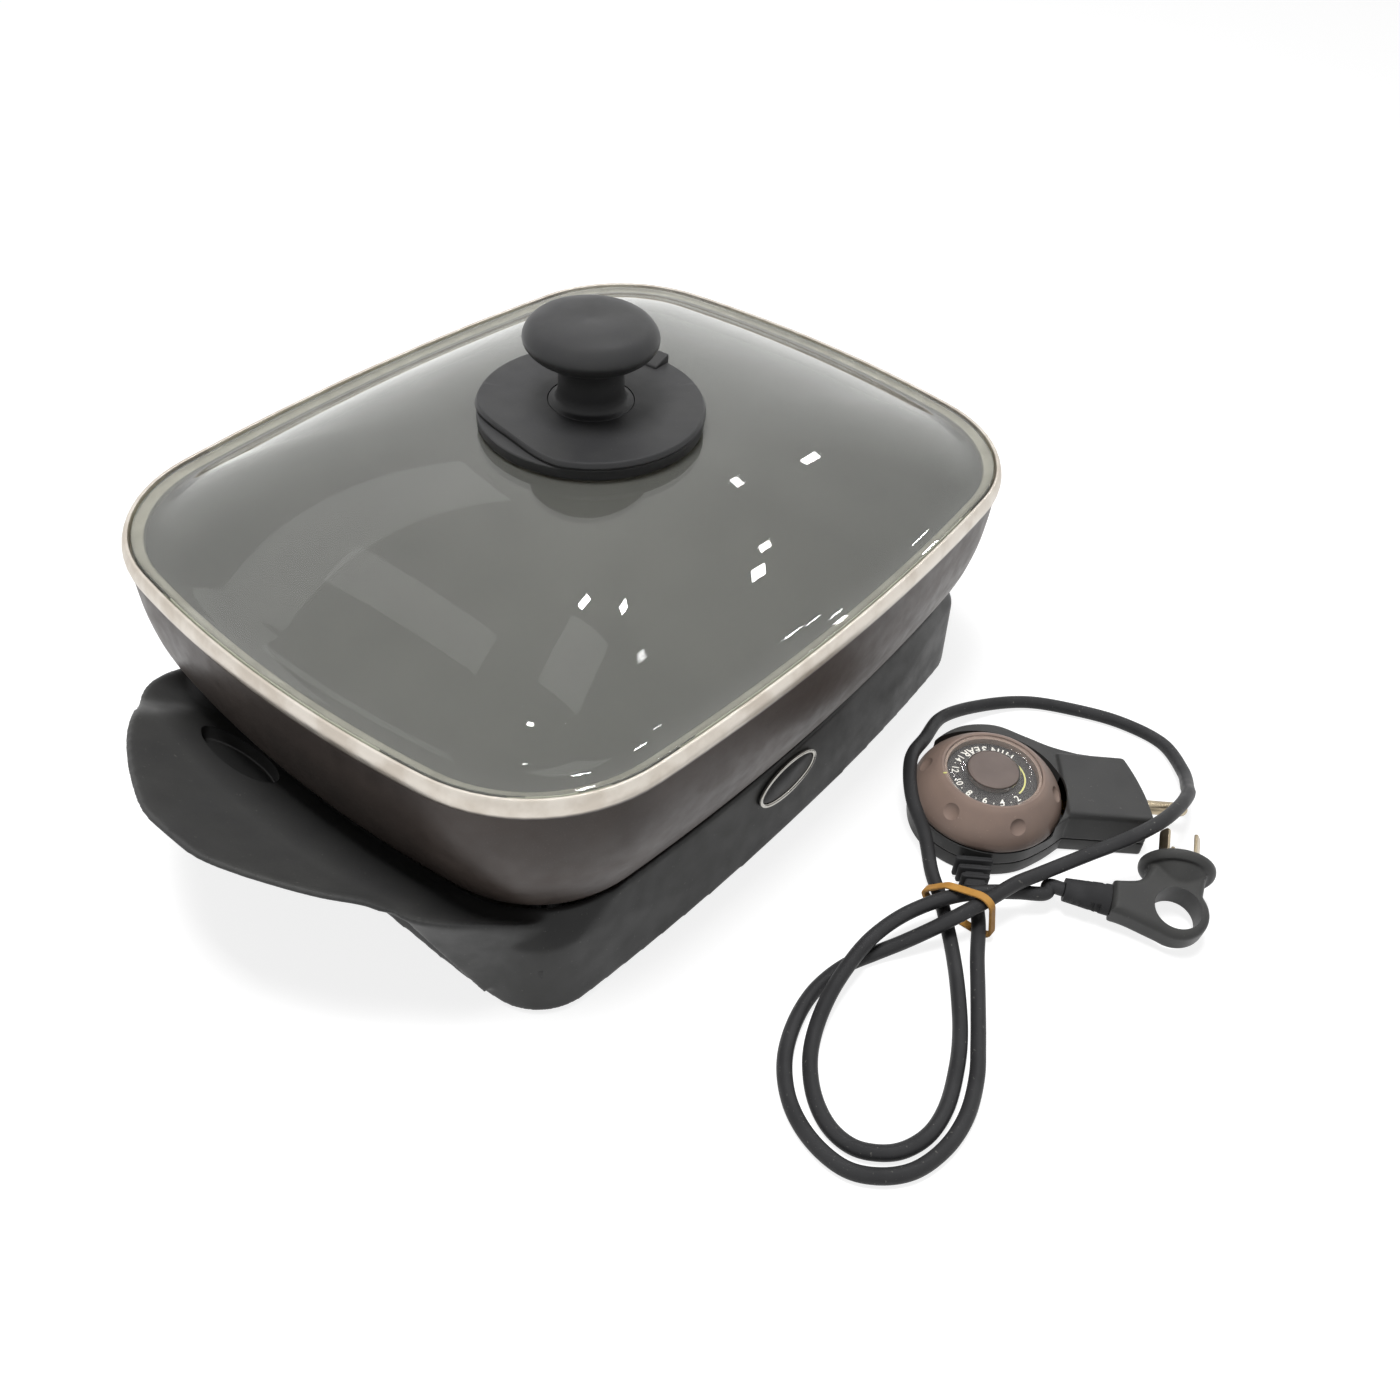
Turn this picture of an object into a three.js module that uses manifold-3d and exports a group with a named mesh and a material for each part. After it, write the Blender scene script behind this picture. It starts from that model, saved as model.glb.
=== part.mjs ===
// Electric skillet with a tempered glass lid, a lift handle wing at each end and a plug-in
// thermostat probe that lies on the table beside it with its lead and mains plug.
// Millimetres, +Z up. The skillet's own axis is at x = y = 0 inside the group, the table is z = 0.
import * as THREE from 'three';
import { mergeVertices } from 'three/addons/utils/BufferGeometryUtils.js';
import Module from 'manifold-3d';

const wasm = await Module();
wasm.setup();

// Fits
const gap = 0.3; // clearance between pieces that touch
const overrun = 2; // how far a cut runs past the face it leaves
const bite = 1; // how far joined bodies run into each other

// Pan casting: a rounded rectangle whose sides bow slightly outwards
const rimHalfLong = 200;
const rimHalfWide = 160.2;
const rimCornerRadius = 75;
const rimBowLong = 6.2;
const rimBowShort = 6.2;
const rimHeight = 145;
const lipDepth = 10;
const lipFlare = 1.7;
const lipTopWidth = 3;
const seatDepth = 5;
const seatWidth = 5.5;
const panWall = 4;
const panWallLean = 24;
const panWallCurl = 2.5;
const panBottomHeight = 50;
const panFloorThickness = 5;
const panOuterCorner = 12;
const panInnerCorner = 16;
const panBossRadius = 7;
const panBossLong = 132;
const panBossWide = 94;

// Base moulding: the skirt round the pan and the two wings that lift it
const baseHalfLong = 184.2;
const baseHalfWide = 145.8;
const baseCornerRadius = 31;
const baseBowLong = 7.6;
const baseBowShort = 3.7;
const footHeight = 2;
const skirtWall = 3;
const skirtTopFront = 51;
const skirtTopEnd = 56.5;
const creaseInset = 2;
const creaseLow = 19;
const creaseHigh = 45;
const wingThickness = 3.2;
const wingHalfSpan = 104;
const wingReach = 72;
const wingRise = 39;
const recessHalfLong = 26;
const recessHalfWide = 10.5;
const recessDepth = 4.2;
const recessSkin = 2;
const recessOffsetY = 44;
const recessReach = 13;
const bossRadius = 8;
const bossTop = 37;
const ribThickness = 3;
const ribHeight = 22;
const footRadius = 6.5;
const footPadHeight = 5;
const footPlaceRadius = 20.5;

// Heat shield and the screws that clamp shield, base and pan together
const shieldHeight = 8;
const shieldThickness = 1;
const shieldSetback = 19;
const shieldCornerRadius = 45;
const shieldSlotLength = 46;
const shieldSlotWidth = 5;
const shieldSlotPitch = 16;
const screwRadius = 2.2;
const screwHeadRadius = 4.4;
const screwHeadHeight = 2.6;
const screwGrip = 10;

// Element, its terminals and the thermostat well
const elementRadius = 3.6;
const elementInset = 68;
const elementLead = 26;
const pinPitch = 28;
const pinRadius = 2.4;
const pinLength = 22;
const socketHeight = 31.4;
const inletSetback = 33.8;
const socketBlockDepth = 5;
const wellOuterRadius = 7.5;
const wellLength = 42;
const earthWidth = 7;
const earthThickness = 1.2;
const shroudWall = 2;
const shroudFit = 0.8;
const shroudLength = 24;
const socketBlockY = baseHalfWide - inletSetback;

// Badge on the front skirt
const badgeHalfWide = 23.5;
const badgeHalfHigh = 10.3;
const badgeRing = 2.2;
const badgeDepth = 1.8;
const badgePlateDepth = 1;
const badgeCentreX = -8.3;
const badgeCentreZ = 37.6;

// Glass lid
const glassThickness = 4;
const glassFit = 0.8;
const glassFlange = 10;
const domeRise = 34;
const knobHole = 5;
const knobPadRadius = 49;
const ventHoleRadius = 2;

// Lid knob
const gasketRadius = 46;
const gasketThickness = 1.6;
const skirtDiscRadius = 54;
const skirtDiscHeight = 4.6;
const skirtDiscDroop = 1.4;
const ventDiscRadius = 54.8;
const ventDiscThickness = 3.4;
const ventCutDepth = 6;
const ventCutAngle = 2.99;
const ventTabAngle = 0.06;
const ventTurn = 0.75;
const ventBore = 22;
const tabLength = 12;
const tabWidth = 12;
const tabHeight = 4.4;
const stemRadius = 15.5;
const stemFootRadius = 20.5;
const stemHeight = 27;
const capRadius = 31;
const capHeight = 17;
const knobScrewRadius = 3;
const knobScrewHead = 8;
const knobWasherRadius = 12;
const knobWasherThickness = 1.5;

// Thermostat probe, in its own frame: dial axis at the origin, rod along +X
const probePlaceX = 68.3;
const probePlaceY = -216.8;
const probeTurn = -0.942;
const shellParting = 9;
const deckHeight = 17;
const shellWall = 2.2;
const noseHalfWide = 22;
const noseHeight = 28;
const noseLength = 80.5;
const noseBulge = 2;
const noseSlant = 4;
const noseCorner = 4;
const noseCentreY = 5;
const rearWallHeight = 26;
const housingRadius = 38.5;
const dialRadius = 38.8;
const dialHeight = 20;
const dialRim = 2.2;
const windowRadius = 26;
const windowThickness = 1.4;
const windowSeat = 1.6;
const dialBore = 24.4;
const dimpleRadius = 6.5;
const dimpleDepth = 1.1;
const dimpleCount = 6;
const dimplePlace = 34.5;
const scaleRadius = 23.8;
const scaleThickness = 1.4;
const scaleDrop = 3.2;
const postRadius = 8;
const centreCapRadius = 14.2;
const rodRadius = 3.7;
const rodReach = 27;
const rodInside = 16;
const collarRadius = 6.4;
const collarLength = 6;
const contactRadius = 4.2;
const contactBore = 2.7;
const contactLength = 16;
const noseRecess = 1.5;
const noseWallDepth = 4;
const lampRadius = 3;
const lampLength = 9;
const frameLength = 44;
const frameWidth = 14;
const frameThickness = 1.6;
const bladeLength = 34;
const bladeWidth = 6;
const bladeThickness = 0.8;
const bladeSpacing = 4;
const glandWidth = 19;
const glandHeight = 13;
const glandLength = 19;
const glandOffset = -9;
const glandHeightAxis = 8.4;
const glandRibs = 4;
const glandCoreShare = 0.52;

// Mains lead
const cordDiameter = 7.2;
const cordSides = 8;
const cordSteps = 78;

// Right-angled plug with a finger hole, in its own frame: pin face at x = 0, pins along +X
const plugPlaceX = 89.5;
const plugPlaceY = -314;
const plugTurn = 0.436;
const plugTilt = 0.2;
const flangeRadius = 18.5;
const flangeThickness = 5;
const handleHalfThickness = 7.5;
const handleOuterRadius = 15.5;
const fingerHoleRadius = 11.3;
const fingerHoleSetback = 27;
const neckLength = 31;
const neckHalfWidth = 8;
const plugReliefLength = 22;
const plugReliefTip = 5.2;
const plugReliefSlots = 4;
const bladePinWidth = 6.3;
const bladePinThickness = 1.6;
const bladePinLength = 17;
const bladePinSpread = 7.9;
const bladePinTurn = 0.52;
const earthPinDrop = 10.3;

// Tie round the bundled lead
const tieThickness = 1.3;
const tieWidth = 3.2;
const tiePlaceX = 2;
const tiePlaceY = -243;
const tieReach = 22;

// Shares: outlines as parts of the sizes they follow
// Wing edge: [share of half span, share of reach, share of rise]
const wingEdgeShares = [
  [0, 1, 1], [0.17, 0.985, 0.985], [0.31, 0.918, 0.955], [0.48, 0.805, 0.905], [0.63, 0.682, 0.835],
  [0.77, 0.548, 0.72], [0.87, 0.456, 0.57], [0.945, 0.383, 0.36], [0.99, 0.229, -0.3], [1.03, -0.01, -1.34],
];
// Shoulder between the wing's top and its ends, on the way from the skirt to the edge
const wingShoulderShares = [
  [0, 0.6, 0.526], [0.17, 0.593, 0.515], [0.31, 0.544, 0.5], [0.48, 0.482, 0.487], [0.63, 0.412, 0.487],
  [0.788, 0.357, 0.5], [0.904, 0.33, 0.5], [1.01, 0.243, 0.4], [1.1, 0.08, 0.25], [1.2, -0.225, -0.14],
];
const wingRootShares = [0, 0.17, 0.31, 0.48, 0.63, 0.77, 0.875, 0.97, 1.067, 1.17];
// Housing outline round the dial: [share of housing radius along X, along Y]
const housingShares = [
  [1.3, 0.76], [0.95, 0.86], [0.62, 1.02], [0.2, 1.2], [-0.28, 1.12], [-0.68, 0.78], [-0.95, 0.33],
  [-1, -0.14], [-0.86, -0.55], [-0.55, -0.86], [-0.12, -1.01], [0.34, -0.95], [0.72, -0.72], [1.02, -0.46],
];

// Route of the lead on the table, from the probe's relief to the plug's relief
const cordRoute = [
  [1.7, -254.2, 6.7], [-14, -263.2, 4.6], [-29.5, -272.8, 3.9],
  [-54.8, -287.8, 3.9], [-69.7, -295.8, 3.9], [-89.3, -302.2, 3.9], [-108.3, -303, 3.9],
  [-125.6, -298.2, 3.9], [-137, -288.6, 3.9], [-143.4, -276.4, 3.9], [-142.8, -259.3, 3.9],
  [-135.4, -242.3, 3.9], [-121.5, -228.3, 3.9], [-104.1, -219.8, 3.9], [-82.5, -215.6, 3.9],
  [-60.5, -218.2, 3.9], [-45, -225, 4.4], [-32.5, -232.8, 8], [-18.9, -241, 13], [-4.8, -248.6, 18.4],
  [7, -254, 21.4], [22, -259, 23], [38, -265, 21.4], [59.3, -277, 25.6], [78.7, -290.3, 33],
  [95.3, -297.2, 35.6], [114.9, -299.4, 32.2], [133.4, -298.4, 26.2], [148.6, -294.7, 16.4], [168.4, -286, 8],
  [185.4, -267, 4.2], [185.4, -242.3, 3.9], [176.6, -216.9, 3.9], [163.1, -192.8, 4],
  [138.3, -175.3, 7], [109.1, -166.5, 13], [79.8, -171.6, 21], [54.9, -177.2, 27.6], [34.2, -191.4, 25.6],
  [25.4, -206.2, 16.6], [12.2, -220.5, 9], [2.7, -231.9, 6.8], [-9.3, -243.8, 4.9], [-20.4, -253.8, 3.9],
  [-35.2, -265.2, 3.9], [-55, -278.4, 3.9], [-70.8, -286.3, 3.9], [-92.6, -293.6, 3.9],
  [-108.6, -294.2, 3.9], [-121.6, -289.3, 3.9], [-129.1, -281.9, 3.9], [-133.4, -272.9, 3.9],
  [-132.9, -261.4, 3.9], [-126, -248.3, 3.9], [-112.6, -235.8, 3.9], [-98.4, -228.4, 5],
  [-80.8, -223.6, 9.4], [-62, -221.6, 12.2], [-45.3, -221.4, 12.9], [-27, -224.6, 13.4], [-11.8, -230.6, 14.4],
  [1.6, -238.6, 15.4], [14, -249, 15.8], [25.6, -260.6, 14.6], [36.5, -271, 12.8],
];

// Materials
const finish = (color, roughness, metalness, more = {}) =>
  new THREE.MeshStandardMaterial({ color, roughness, metalness, ...more });
const panCoat = finish(0x4b4340, 0.45, 0.35);
const blackMoulding = finish(0x2b2b2c, 0.38, 0);
const knobMoulding = finish(0x29282a, 0.35, 0);
const dialMoulding = finish(0x877468, 0.5, 0);
const brightSteel = finish(0xb8b4ac, 0.28, 1);
const dullSteel = finish(0x8d8b86, 0.5, 0.9);
const brass = finish(0xb59a55, 0.4, 1);
const rubber = finish(0x1e1e1e, 0.85, 0);
const silicone = finish(0x8c8a86, 0.8, 0);
const ceramic = finish(0xd9d4c8, 0.7, 0);
const cordJacket = finish(0x3a3a3a, 0.6, 0);
const tieRubber = finish(0xb98a45, 0.7, 0);
const tintedGlass = finish(0x9fa694, 0.05, 0, { transparent: true, opacity: 0.35 });
const clearPlastic = finish(0xd8d8d4, 0.1, 0, { transparent: true, opacity: 0.4 });
const lampAmber = finish(0xc86a2a, 0.3, 0);

// Geometry to solid and back
function tidy(geometry) {
  let plain = geometry.clone();
  for (const name of Object.keys(plain.attributes)) {
    if (name !== 'position') plain.deleteAttribute(name);
  }
  plain = mergeVertices(plain, gap / 1000);
  const index = plain.index.array;
  const kept = [];
  for (let i = 0; i < index.length; i += 3) {
    const [a, b, c] = [index[i], index[i + 1], index[i + 2]];
    if (a !== b && b !== c && c !== a) kept.push(a, b, c);
  }
  plain.setIndex(kept);
  return plain;
}

function toSolid(geometry) {
  const plain = tidy(geometry);
  const vertProperties = new Float32Array(plain.attributes.position.array);
  const triVerts = new Uint32Array(plain.index.array);
  return new wasm.Manifold(new wasm.Mesh({ numProp: 3, vertProperties, triVerts }));
}

function toGeometry(solid) {
  const mesh = solid.getMesh();
  const geometry = new THREE.BufferGeometry();
  geometry.setAttribute('position', new THREE.BufferAttribute(new Float32Array(mesh.vertProperties), 3));
  geometry.setIndex(new THREE.BufferAttribute(new Uint32Array(mesh.triVerts), 1));
  return geometry;
}

function build(first, joined = [], cuts = []) {
  let solid = toSolid(first);
  for (const other of joined) solid = solid.add(toSolid(other));
  for (const other of cuts) solid = solid.subtract(toSolid(other));
  return toGeometry(solid);
}

// Shape makers
function signedVolume(positions, index) {
  let sum = 0;
  const corner = (i) => new THREE.Vector3().fromArray(positions, index[i] * 3);
  for (let i = 0; i < index.length; i += 3) sum += corner(i).dot(corner(i + 1).cross(corner(i + 2)));
  return sum;
}

// Skin over rings of equal count: a closed tyre shape, or a body capped at its first and last ring
function loft(rings, isTyre = false) {
  const count = rings[0].length;
  const positions = rings.flat().flatMap((p) => [p.x, p.y, p.z]);
  const index = [];
  const last = isTyre ? rings.length : rings.length - 1;
  for (let r = 0; r < last; r += 1) {
    const near = r * count;
    const far = ((r + 1) % rings.length) * count;
    for (let i = 0; i < count; i += 1) {
      const j = (i + 1) % count;
      index.push(near + i, near + j, far + j, near + i, far + j, far + i);
    }
  }
  if (!isTyre) {
    for (const [ring, isFirst] of [[0, true], [rings.length - 1, false]]) {
      const centre = new THREE.Vector3();
      for (const p of rings[ring]) centre.add(p);
      centre.divideScalar(count);
      const hub = positions.length / 3;
      positions.push(centre.x, centre.y, centre.z);
      for (let i = 0; i < count; i += 1) {
        const a = ring * count + i;
        const b = ring * count + ((i + 1) % count);
        if (isFirst) index.push(hub, b, a);
        else index.push(hub, a, b);
      }
    }
  }
  if (signedVolume(positions, index) < 0) {
    for (let i = 0; i < index.length; i += 3) [index[i + 1], index[i + 2]] = [index[i + 2], index[i + 1]];
  }
  const geometry = new THREE.BufferGeometry();
  geometry.setAttribute('position', new THREE.Float32BufferAttribute(positions, 3));
  geometry.setIndex(index);
  return geometry;
}

// Rounded rectangle with bowed sides, drawn in by an inset
const sideSteps = 3;
const cornerSteps = 5;
function bowedOutline(form, inset = 0) {
  const radius = Math.max(form.corner - inset, form.corner * 0.2);
  const halfX = form.halfLong - inset - radius - form.bowShort;
  const halfY = form.halfWide - inset - radius - form.bowLong;
  const quarter = [];
  const put = (x, y, nx, ny) => {
    const size = Math.hypot(nx, ny);
    quarter.push(new THREE.Vector2(x + (radius * nx) / size, y + (radius * ny) / size));
  };
  for (let i = 0; i < sideSteps; i += 1) {
    const t = (i + 0.5) / sideSteps;
    put(halfX + form.bowShort * (1 - t * t), halfY * t, 1, (2 * form.bowShort * t) / halfY);
  }
  const from = Math.atan2(2 * form.bowShort, halfY);
  const to = Math.atan2(halfX, 2 * form.bowLong);
  for (let i = 0; i <= cornerSteps; i += 1) {
    const angle = from + ((to - from) * i) / cornerSteps;
    put(halfX, halfY, Math.cos(angle), Math.sin(angle));
  }
  for (let i = sideSteps - 1; i >= 0; i -= 1) {
    const t = (i + 0.5) / sideSteps;
    put(halfX * t, halfY + form.bowLong * (1 - t * t), (2 * form.bowLong * t) / halfX, 1);
  }
  const mirrored = (sx, sy) => quarter.map((p) => new THREE.Vector2(p.x * sx, p.y * sy));
  return [
    ...quarter, ...mirrored(-1, 1).reverse(), ...mirrored(-1, -1), ...mirrored(1, -1).reverse(),
  ];
}

const rimForm = {
  halfLong: rimHalfLong, halfWide: rimHalfWide, corner: rimCornerRadius, bowLong: rimBowLong, bowShort: rimBowShort,
};
const baseForm = {
  halfLong: baseHalfLong, halfWide: baseHalfWide, corner: baseCornerRadius, bowLong: baseBowLong, bowShort: baseBowShort,
};
const shieldHalfLong = baseHalfLong - shieldSetback;
const shieldHalfWide = baseHalfWide - shieldSetback;
const shieldForm = {
  halfLong: shieldHalfLong, halfWide: shieldHalfWide, corner: shieldCornerRadius, bowLong: baseBowLong, bowShort: baseBowShort,
};
const raised = (outline, z) => outline.map((p) => new THREE.Vector3(p.x, p.y, z));

function revolve(profile, segments = 40) {
  const points = profile.map(([r, z]) => new THREE.Vector2(r, z));
  return new THREE.LatheGeometry(points, segments).rotateX(Math.PI / 2);
}

function prism(outline, low, high) {
  const shape = new THREE.Shape(outline);
  return new THREE.ExtrudeGeometry(shape, { depth: high - low, bevelEnabled: false }).translate(0, 0, low);
}

function softPrism(outline, low, high, edge, steps = 2) {
  const shape = new THREE.Shape(outline);
  const options = {
    depth: high - low - 2 * edge, bevelEnabled: true, bevelThickness: edge, bevelSize: edge,
    bevelOffset: -edge, bevelSegments: steps, curveSegments: 6,
  };
  return new THREE.ExtrudeGeometry(shape, options).translate(0, 0, low + edge);
}

function box(sizeX, sizeY, sizeZ, x, y, z) {
  return new THREE.BoxGeometry(sizeX, sizeY, sizeZ).translate(x, y, z);
}

function rod(radius, length, segments = 24) {
  return new THREE.CylinderGeometry(radius, radius, length, segments).rotateX(Math.PI / 2);
}

function rodAlongX(radius, from, to, y, z, segments = 20) {
  const shape = new THREE.CylinderGeometry(radius, radius, to - from, segments).rotateZ(Math.PI / 2);
  return shape.translate((from + to) / 2, y, z);
}

function rodAlongY(radius, from, to, x, z, segments = 20) {
  return new THREE.CylinderGeometry(radius, radius, to - from, segments).translate(x, (from + to) / 2, z);
}

function upright(radius, low, high, x, y, segments = 24) {
  return rod(radius, high - low, segments).translate(x, y, (low + high) / 2);
}

function circleOutline(radius, x = 0, y = 0, segments = 32) {
  const points = [];
  for (let i = 0; i < segments; i += 1) {
    const angle = (2 * Math.PI * i) / segments;
    points.push(new THREE.Vector2(x + radius * Math.cos(angle), y + radius * Math.sin(angle)));
  }
  return points;
}

function ovalOutline(halfX, halfY, segments = 32) {
  return circleOutline(1, 0, 0, segments).map((p) => new THREE.Vector2(p.x * halfX, p.y * halfY));
}

function roundedRectangle(halfX, halfY, corner, x = 0, y = 0, steps = 4) {
  const points = [];
  for (const [sx, sy, start] of [[1, 1, 0], [-1, 1, 1], [-1, -1, 2], [1, -1, 3]]) {
    for (let i = 0; i <= steps; i += 1) {
      const angle = (start + i / steps) * (Math.PI / 2);
      const cx = x + sx * (halfX - corner);
      const cy = y + sy * (halfY - corner);
      points.push(new THREE.Vector2(cx + corner * Math.cos(angle), cy + corner * Math.sin(angle)));
    }
  }
  return points;
}

function tubeAlong(points, radius, sides, steps) {
  const shape = new THREE.Shape(circleOutline(radius, 0, 0, sides));
  const path = new THREE.CatmullRomCurve3(points);
  return new THREE.ExtrudeGeometry(shape, { steps, extrudePath: path, bevelEnabled: false });
}

function smooth(from, to, value) {
  const t = Math.min(1, Math.max(0, (value - from) / (to - from)));
  return t * t * (3 - 2 * t);
}

const fourCorners = [[1, 1], [-1, 1], [-1, -1], [1, -1]];
const skillet = new THREE.Group();
const cordPieces = [];
function add(parent, name, geometry, material, isOnCord = false) {
  const mesh = new THREE.Mesh(tidy(geometry), material);
  mesh.name = name;
  parent.add(mesh);
  if (isOnCord) cordPieces.push(mesh);
  return mesh;
}

// Pan casting
const lipBottom = rimHeight - lipDepth;
const panHeight = lipBottom - panBottomHeight;
const panInsetAt = (z) => panWallLean * (Math.max(0, lipBottom - z) / panHeight) ** panWallCurl;
const panInsetBottom = panInsetAt(panBottomHeight);
const panFloorTop = panBottomHeight + panFloorThickness;
const seatHeight = rimHeight - seatDepth;

function panGeometry() {
  const ring = (inset, z) => raised(bowedOutline(rimForm, inset), z);
  const seatInset = lipTopWidth + seatWidth;
  const innerInset = (z) => Math.max(panInsetAt(z) + panWall, seatInset);
  const lipEdge = lipDepth / 9;
  const cornerRing = (share, corner, insetAt, low) => {
    const angle = (share * Math.PI) / 2;
    const z = low + corner * (1 - Math.cos(angle));
    return ring(insetAt(z) + corner * (1 - Math.sin(angle)), z);
  };
  const rings = [];
  for (const share of [0, 0.5, 1]) {
    rings.push(cornerRing(share, panOuterCorner, panInsetAt, panBottomHeight));
  }
  const wallStart = panBottomHeight + panOuterCorner;
  for (const share of [0.22, 0.48, 0.74, 1]) {
    const z = wallStart + (lipBottom - wallStart) * share;
    rings.push(ring(panInsetAt(z), z));
  }
  rings.push(ring(-lipFlare / 2, lipBottom + lipEdge / 4));
  rings.push(ring(-lipFlare, rimHeight - lipDepth * 0.55));
  rings.push(ring(-lipFlare * 0.7, rimHeight - lipDepth * 0.27));
  rings.push(ring(0, rimHeight - lipEdge / 3));
  rings.push(ring(lipEdge / 3, rimHeight));
  rings.push(ring(lipTopWidth, rimHeight));
  rings.push(ring(lipTopWidth + lipEdge / 4, seatHeight));
  rings.push(ring(seatInset, seatHeight));
  const innerStart = panFloorTop + panInnerCorner;
  for (const share of [0.62, 0.3]) {
    const z = innerStart + (seatHeight - innerStart) * share;
    rings.push(ring(innerInset(z) + lipEdge / 4, z));
  }
  for (const share of [1, 0.5, 0]) {
    rings.push(cornerRing(share, panInnerCorner, innerInset, panFloorTop));
  }
  const bosses = fourCorners.map(([sx, sy]) =>
    upright(panBossRadius, bossTop + gap, panBottomHeight + bite, sx * panBossLong, sy * panBossWide, 14));
  const pilots = fourCorners.map(([sx, sy]) =>
    upright(screwRadius + gap, bossTop - overrun, panBottomHeight, sx * panBossLong, sy * panBossWide, 10));
  const wellFront = socketBlockY - gap;
  const wellBack = wellFront - wellLength;
  const well = rodAlongY(wellOuterRadius, wellBack, wellFront, 0, socketHeight, 16);
  const wellWeb = box(
    wellOuterRadius, wellLength, panBottomHeight + bite - socketHeight,
    0, (wellBack + wellFront) / 2, (panBottomHeight + bite + socketHeight) / 2,
  );
  const bore = rodAlongY(rodRadius + gap, wellBack + overrun, wellFront + overrun, 0, socketHeight, 14);
  return build(loft(rings), [...bosses, well, wellWeb], [...pilots, bore]);
}
add(skillet, 'pan_body', panGeometry(), panCoat);

// Tubular element under the pan floor, with both ends led to the terminal block
const elementHeight = panBottomHeight - gap - elementRadius;
function elementGeometry() {
  const half = pinPitch / 2;
  const outline = bowedOutline(rimForm, elementInset).filter((p, i) => i % 2 === 1);
  const start = outline.findIndex((p, i) => p.x > 0 && outline[(i + 1) % outline.length].x <= 0 && p.y > 0);
  const loop = [];
  for (let i = 1; i <= outline.length; i += 1) loop.push(outline[(start + i) % outline.length]);
  const route = loop.filter((p) => p.y < 0 || Math.abs(p.x) > half + 1.5 * elementLead);
  const end = socketBlockY - gap;
  const climb = elementHeight - socketHeight;
  const leadShares = [[0, 0, 0], [0, 0.35, 0], [0.25, 0.8, 0.5], [0.85, 1.1, 0.9]];
  const lead = (side) => leadShares.map(([out, back, up]) => new THREE.Vector3(
    side * (half + out * elementLead), end - back * elementLead, socketHeight + up * climb,
  ));
  const path = [
    ...lead(-1),
    ...route.map((p) => new THREE.Vector3(p.x, p.y, elementHeight)),
    ...lead(1).reverse(),
  ];
  return tubeAlong(path, elementRadius, 8, 36);
}
add(skillet, 'heating_element', elementGeometry(), dullSteel);

// Terminal block, pins and earth blade in the inlet
const blockHalfWide = noseHalfWide - gap;
const blockHalfHigh = noseHeight / 2 - gap;
const blockBack = socketBlockY + socketBlockDepth;
const halfPitch = pinPitch / 2;
add(skillet, 'terminal_block', build(
  standing(roundedRectangle(blockHalfWide, blockHalfHigh, noseCorner, 0, socketHeight, 2), socketBlockY, blockBack),
  [],
  [
    rodAlongY(rodRadius + 2 * gap, socketBlockY - overrun, blockBack + overrun, 0, socketHeight, 20),
    ...[-1, 1].map((side) =>
      rodAlongY(pinRadius + gap, socketBlockY - overrun, blockBack + overrun, side * halfPitch, socketHeight, 16)),
    box(earthWidth + 2 * gap, socketBlockDepth + 2 * overrun, earthThickness + 2 * gap,
      0, socketBlockY + socketBlockDepth / 2, socketHeight - blockHalfHigh / 1.4),
  ],
), ceramic);
function pinGeometry(x) {
  const to = blockBack + pinLength;
  const tip = pinRadius / 2;
  return revolve([
    [0, socketBlockY], [pinRadius, socketBlockY], [pinRadius, to - tip], [pinRadius / 2, to], [0, to],
  ], 14).rotateX(-Math.PI / 2).translate(x, 0, socketHeight);
}
add(skillet, 'terminal_pin_left', pinGeometry(-halfPitch), brightSteel);
add(skillet, 'terminal_pin_right', pinGeometry(halfPitch), brightSteel);
add(skillet, 'earth_blade', box(
  earthWidth, socketBlockDepth + pinLength, earthThickness,
  0, socketBlockY + (socketBlockDepth + pinLength) / 2, socketHeight - blockHalfHigh / 1.4,
), brightSteel);

// Sleeve of the inlet, from the terminal block out through the back skirt
const shroudInnerX = noseHalfWide + shroudFit;
const shroudInnerZ = noseHeight / 2 + shroudFit;
const shroudBack = socketBlockY;
const shroudFront = shroudBack + socketBlockDepth + shroudLength;
function shroudOutline(extra) {
  return roundedRectangle(shroudInnerX + extra, shroudInnerZ + extra, noseCorner + extra, 0, socketHeight);
}
function standing(outline, from, to) {
  return prism(outline, -to, -from).rotateX(Math.PI / 2);
}
add(skillet, 'inlet_sleeve', build(
  standing(shroudOutline(shroudWall), shroudBack, shroudFront),
  [],
  [standing(shroudOutline(0), shroudBack - overrun, shroudFront + overrun)],
), blackMoulding);

// Base moulding
const cornerShare = (p) => Math.abs(p.x) / baseHalfLong;
const skirtTopAt = (p) => skirtTopFront + (skirtTopEnd - skirtTopFront) * smooth(0.55, 0.92, cornerShare(p));
const creaseAt = (p) => creaseLow + (creaseHigh - creaseLow) * smooth(0.4, 0.86, cornerShare(p));
const basePanGap = gap + bite / 5;
const wingRootX = rimHalfLong - panInsetAt(skirtTopEnd) + basePanGap;
function curveSteps(points, steps) {
  const curve = new THREE.CatmullRomCurve3(points);
  return Array.from({ length: steps + 1 }, (_, i) => curve.getPoint(i / steps));
}
function skirtTopBeside(y) {
  const line = bowedOutline(rimForm, panInsetAt(skirtTopEnd) - basePanGap - skirtWall / 3).filter((p) => p.x > 0);
  line.sort((a, b) => a.y - b.y);
  const next = line.findIndex((p) => p.y > y);
  const [a, b] = [line[next - 1], line[next]];
  const x = THREE.MathUtils.mapLinear(y, a.y, b.y, a.x, b.x);
  return new THREE.Vector3(x, y, skirtTopAt({ x }) - gap);
}
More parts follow.
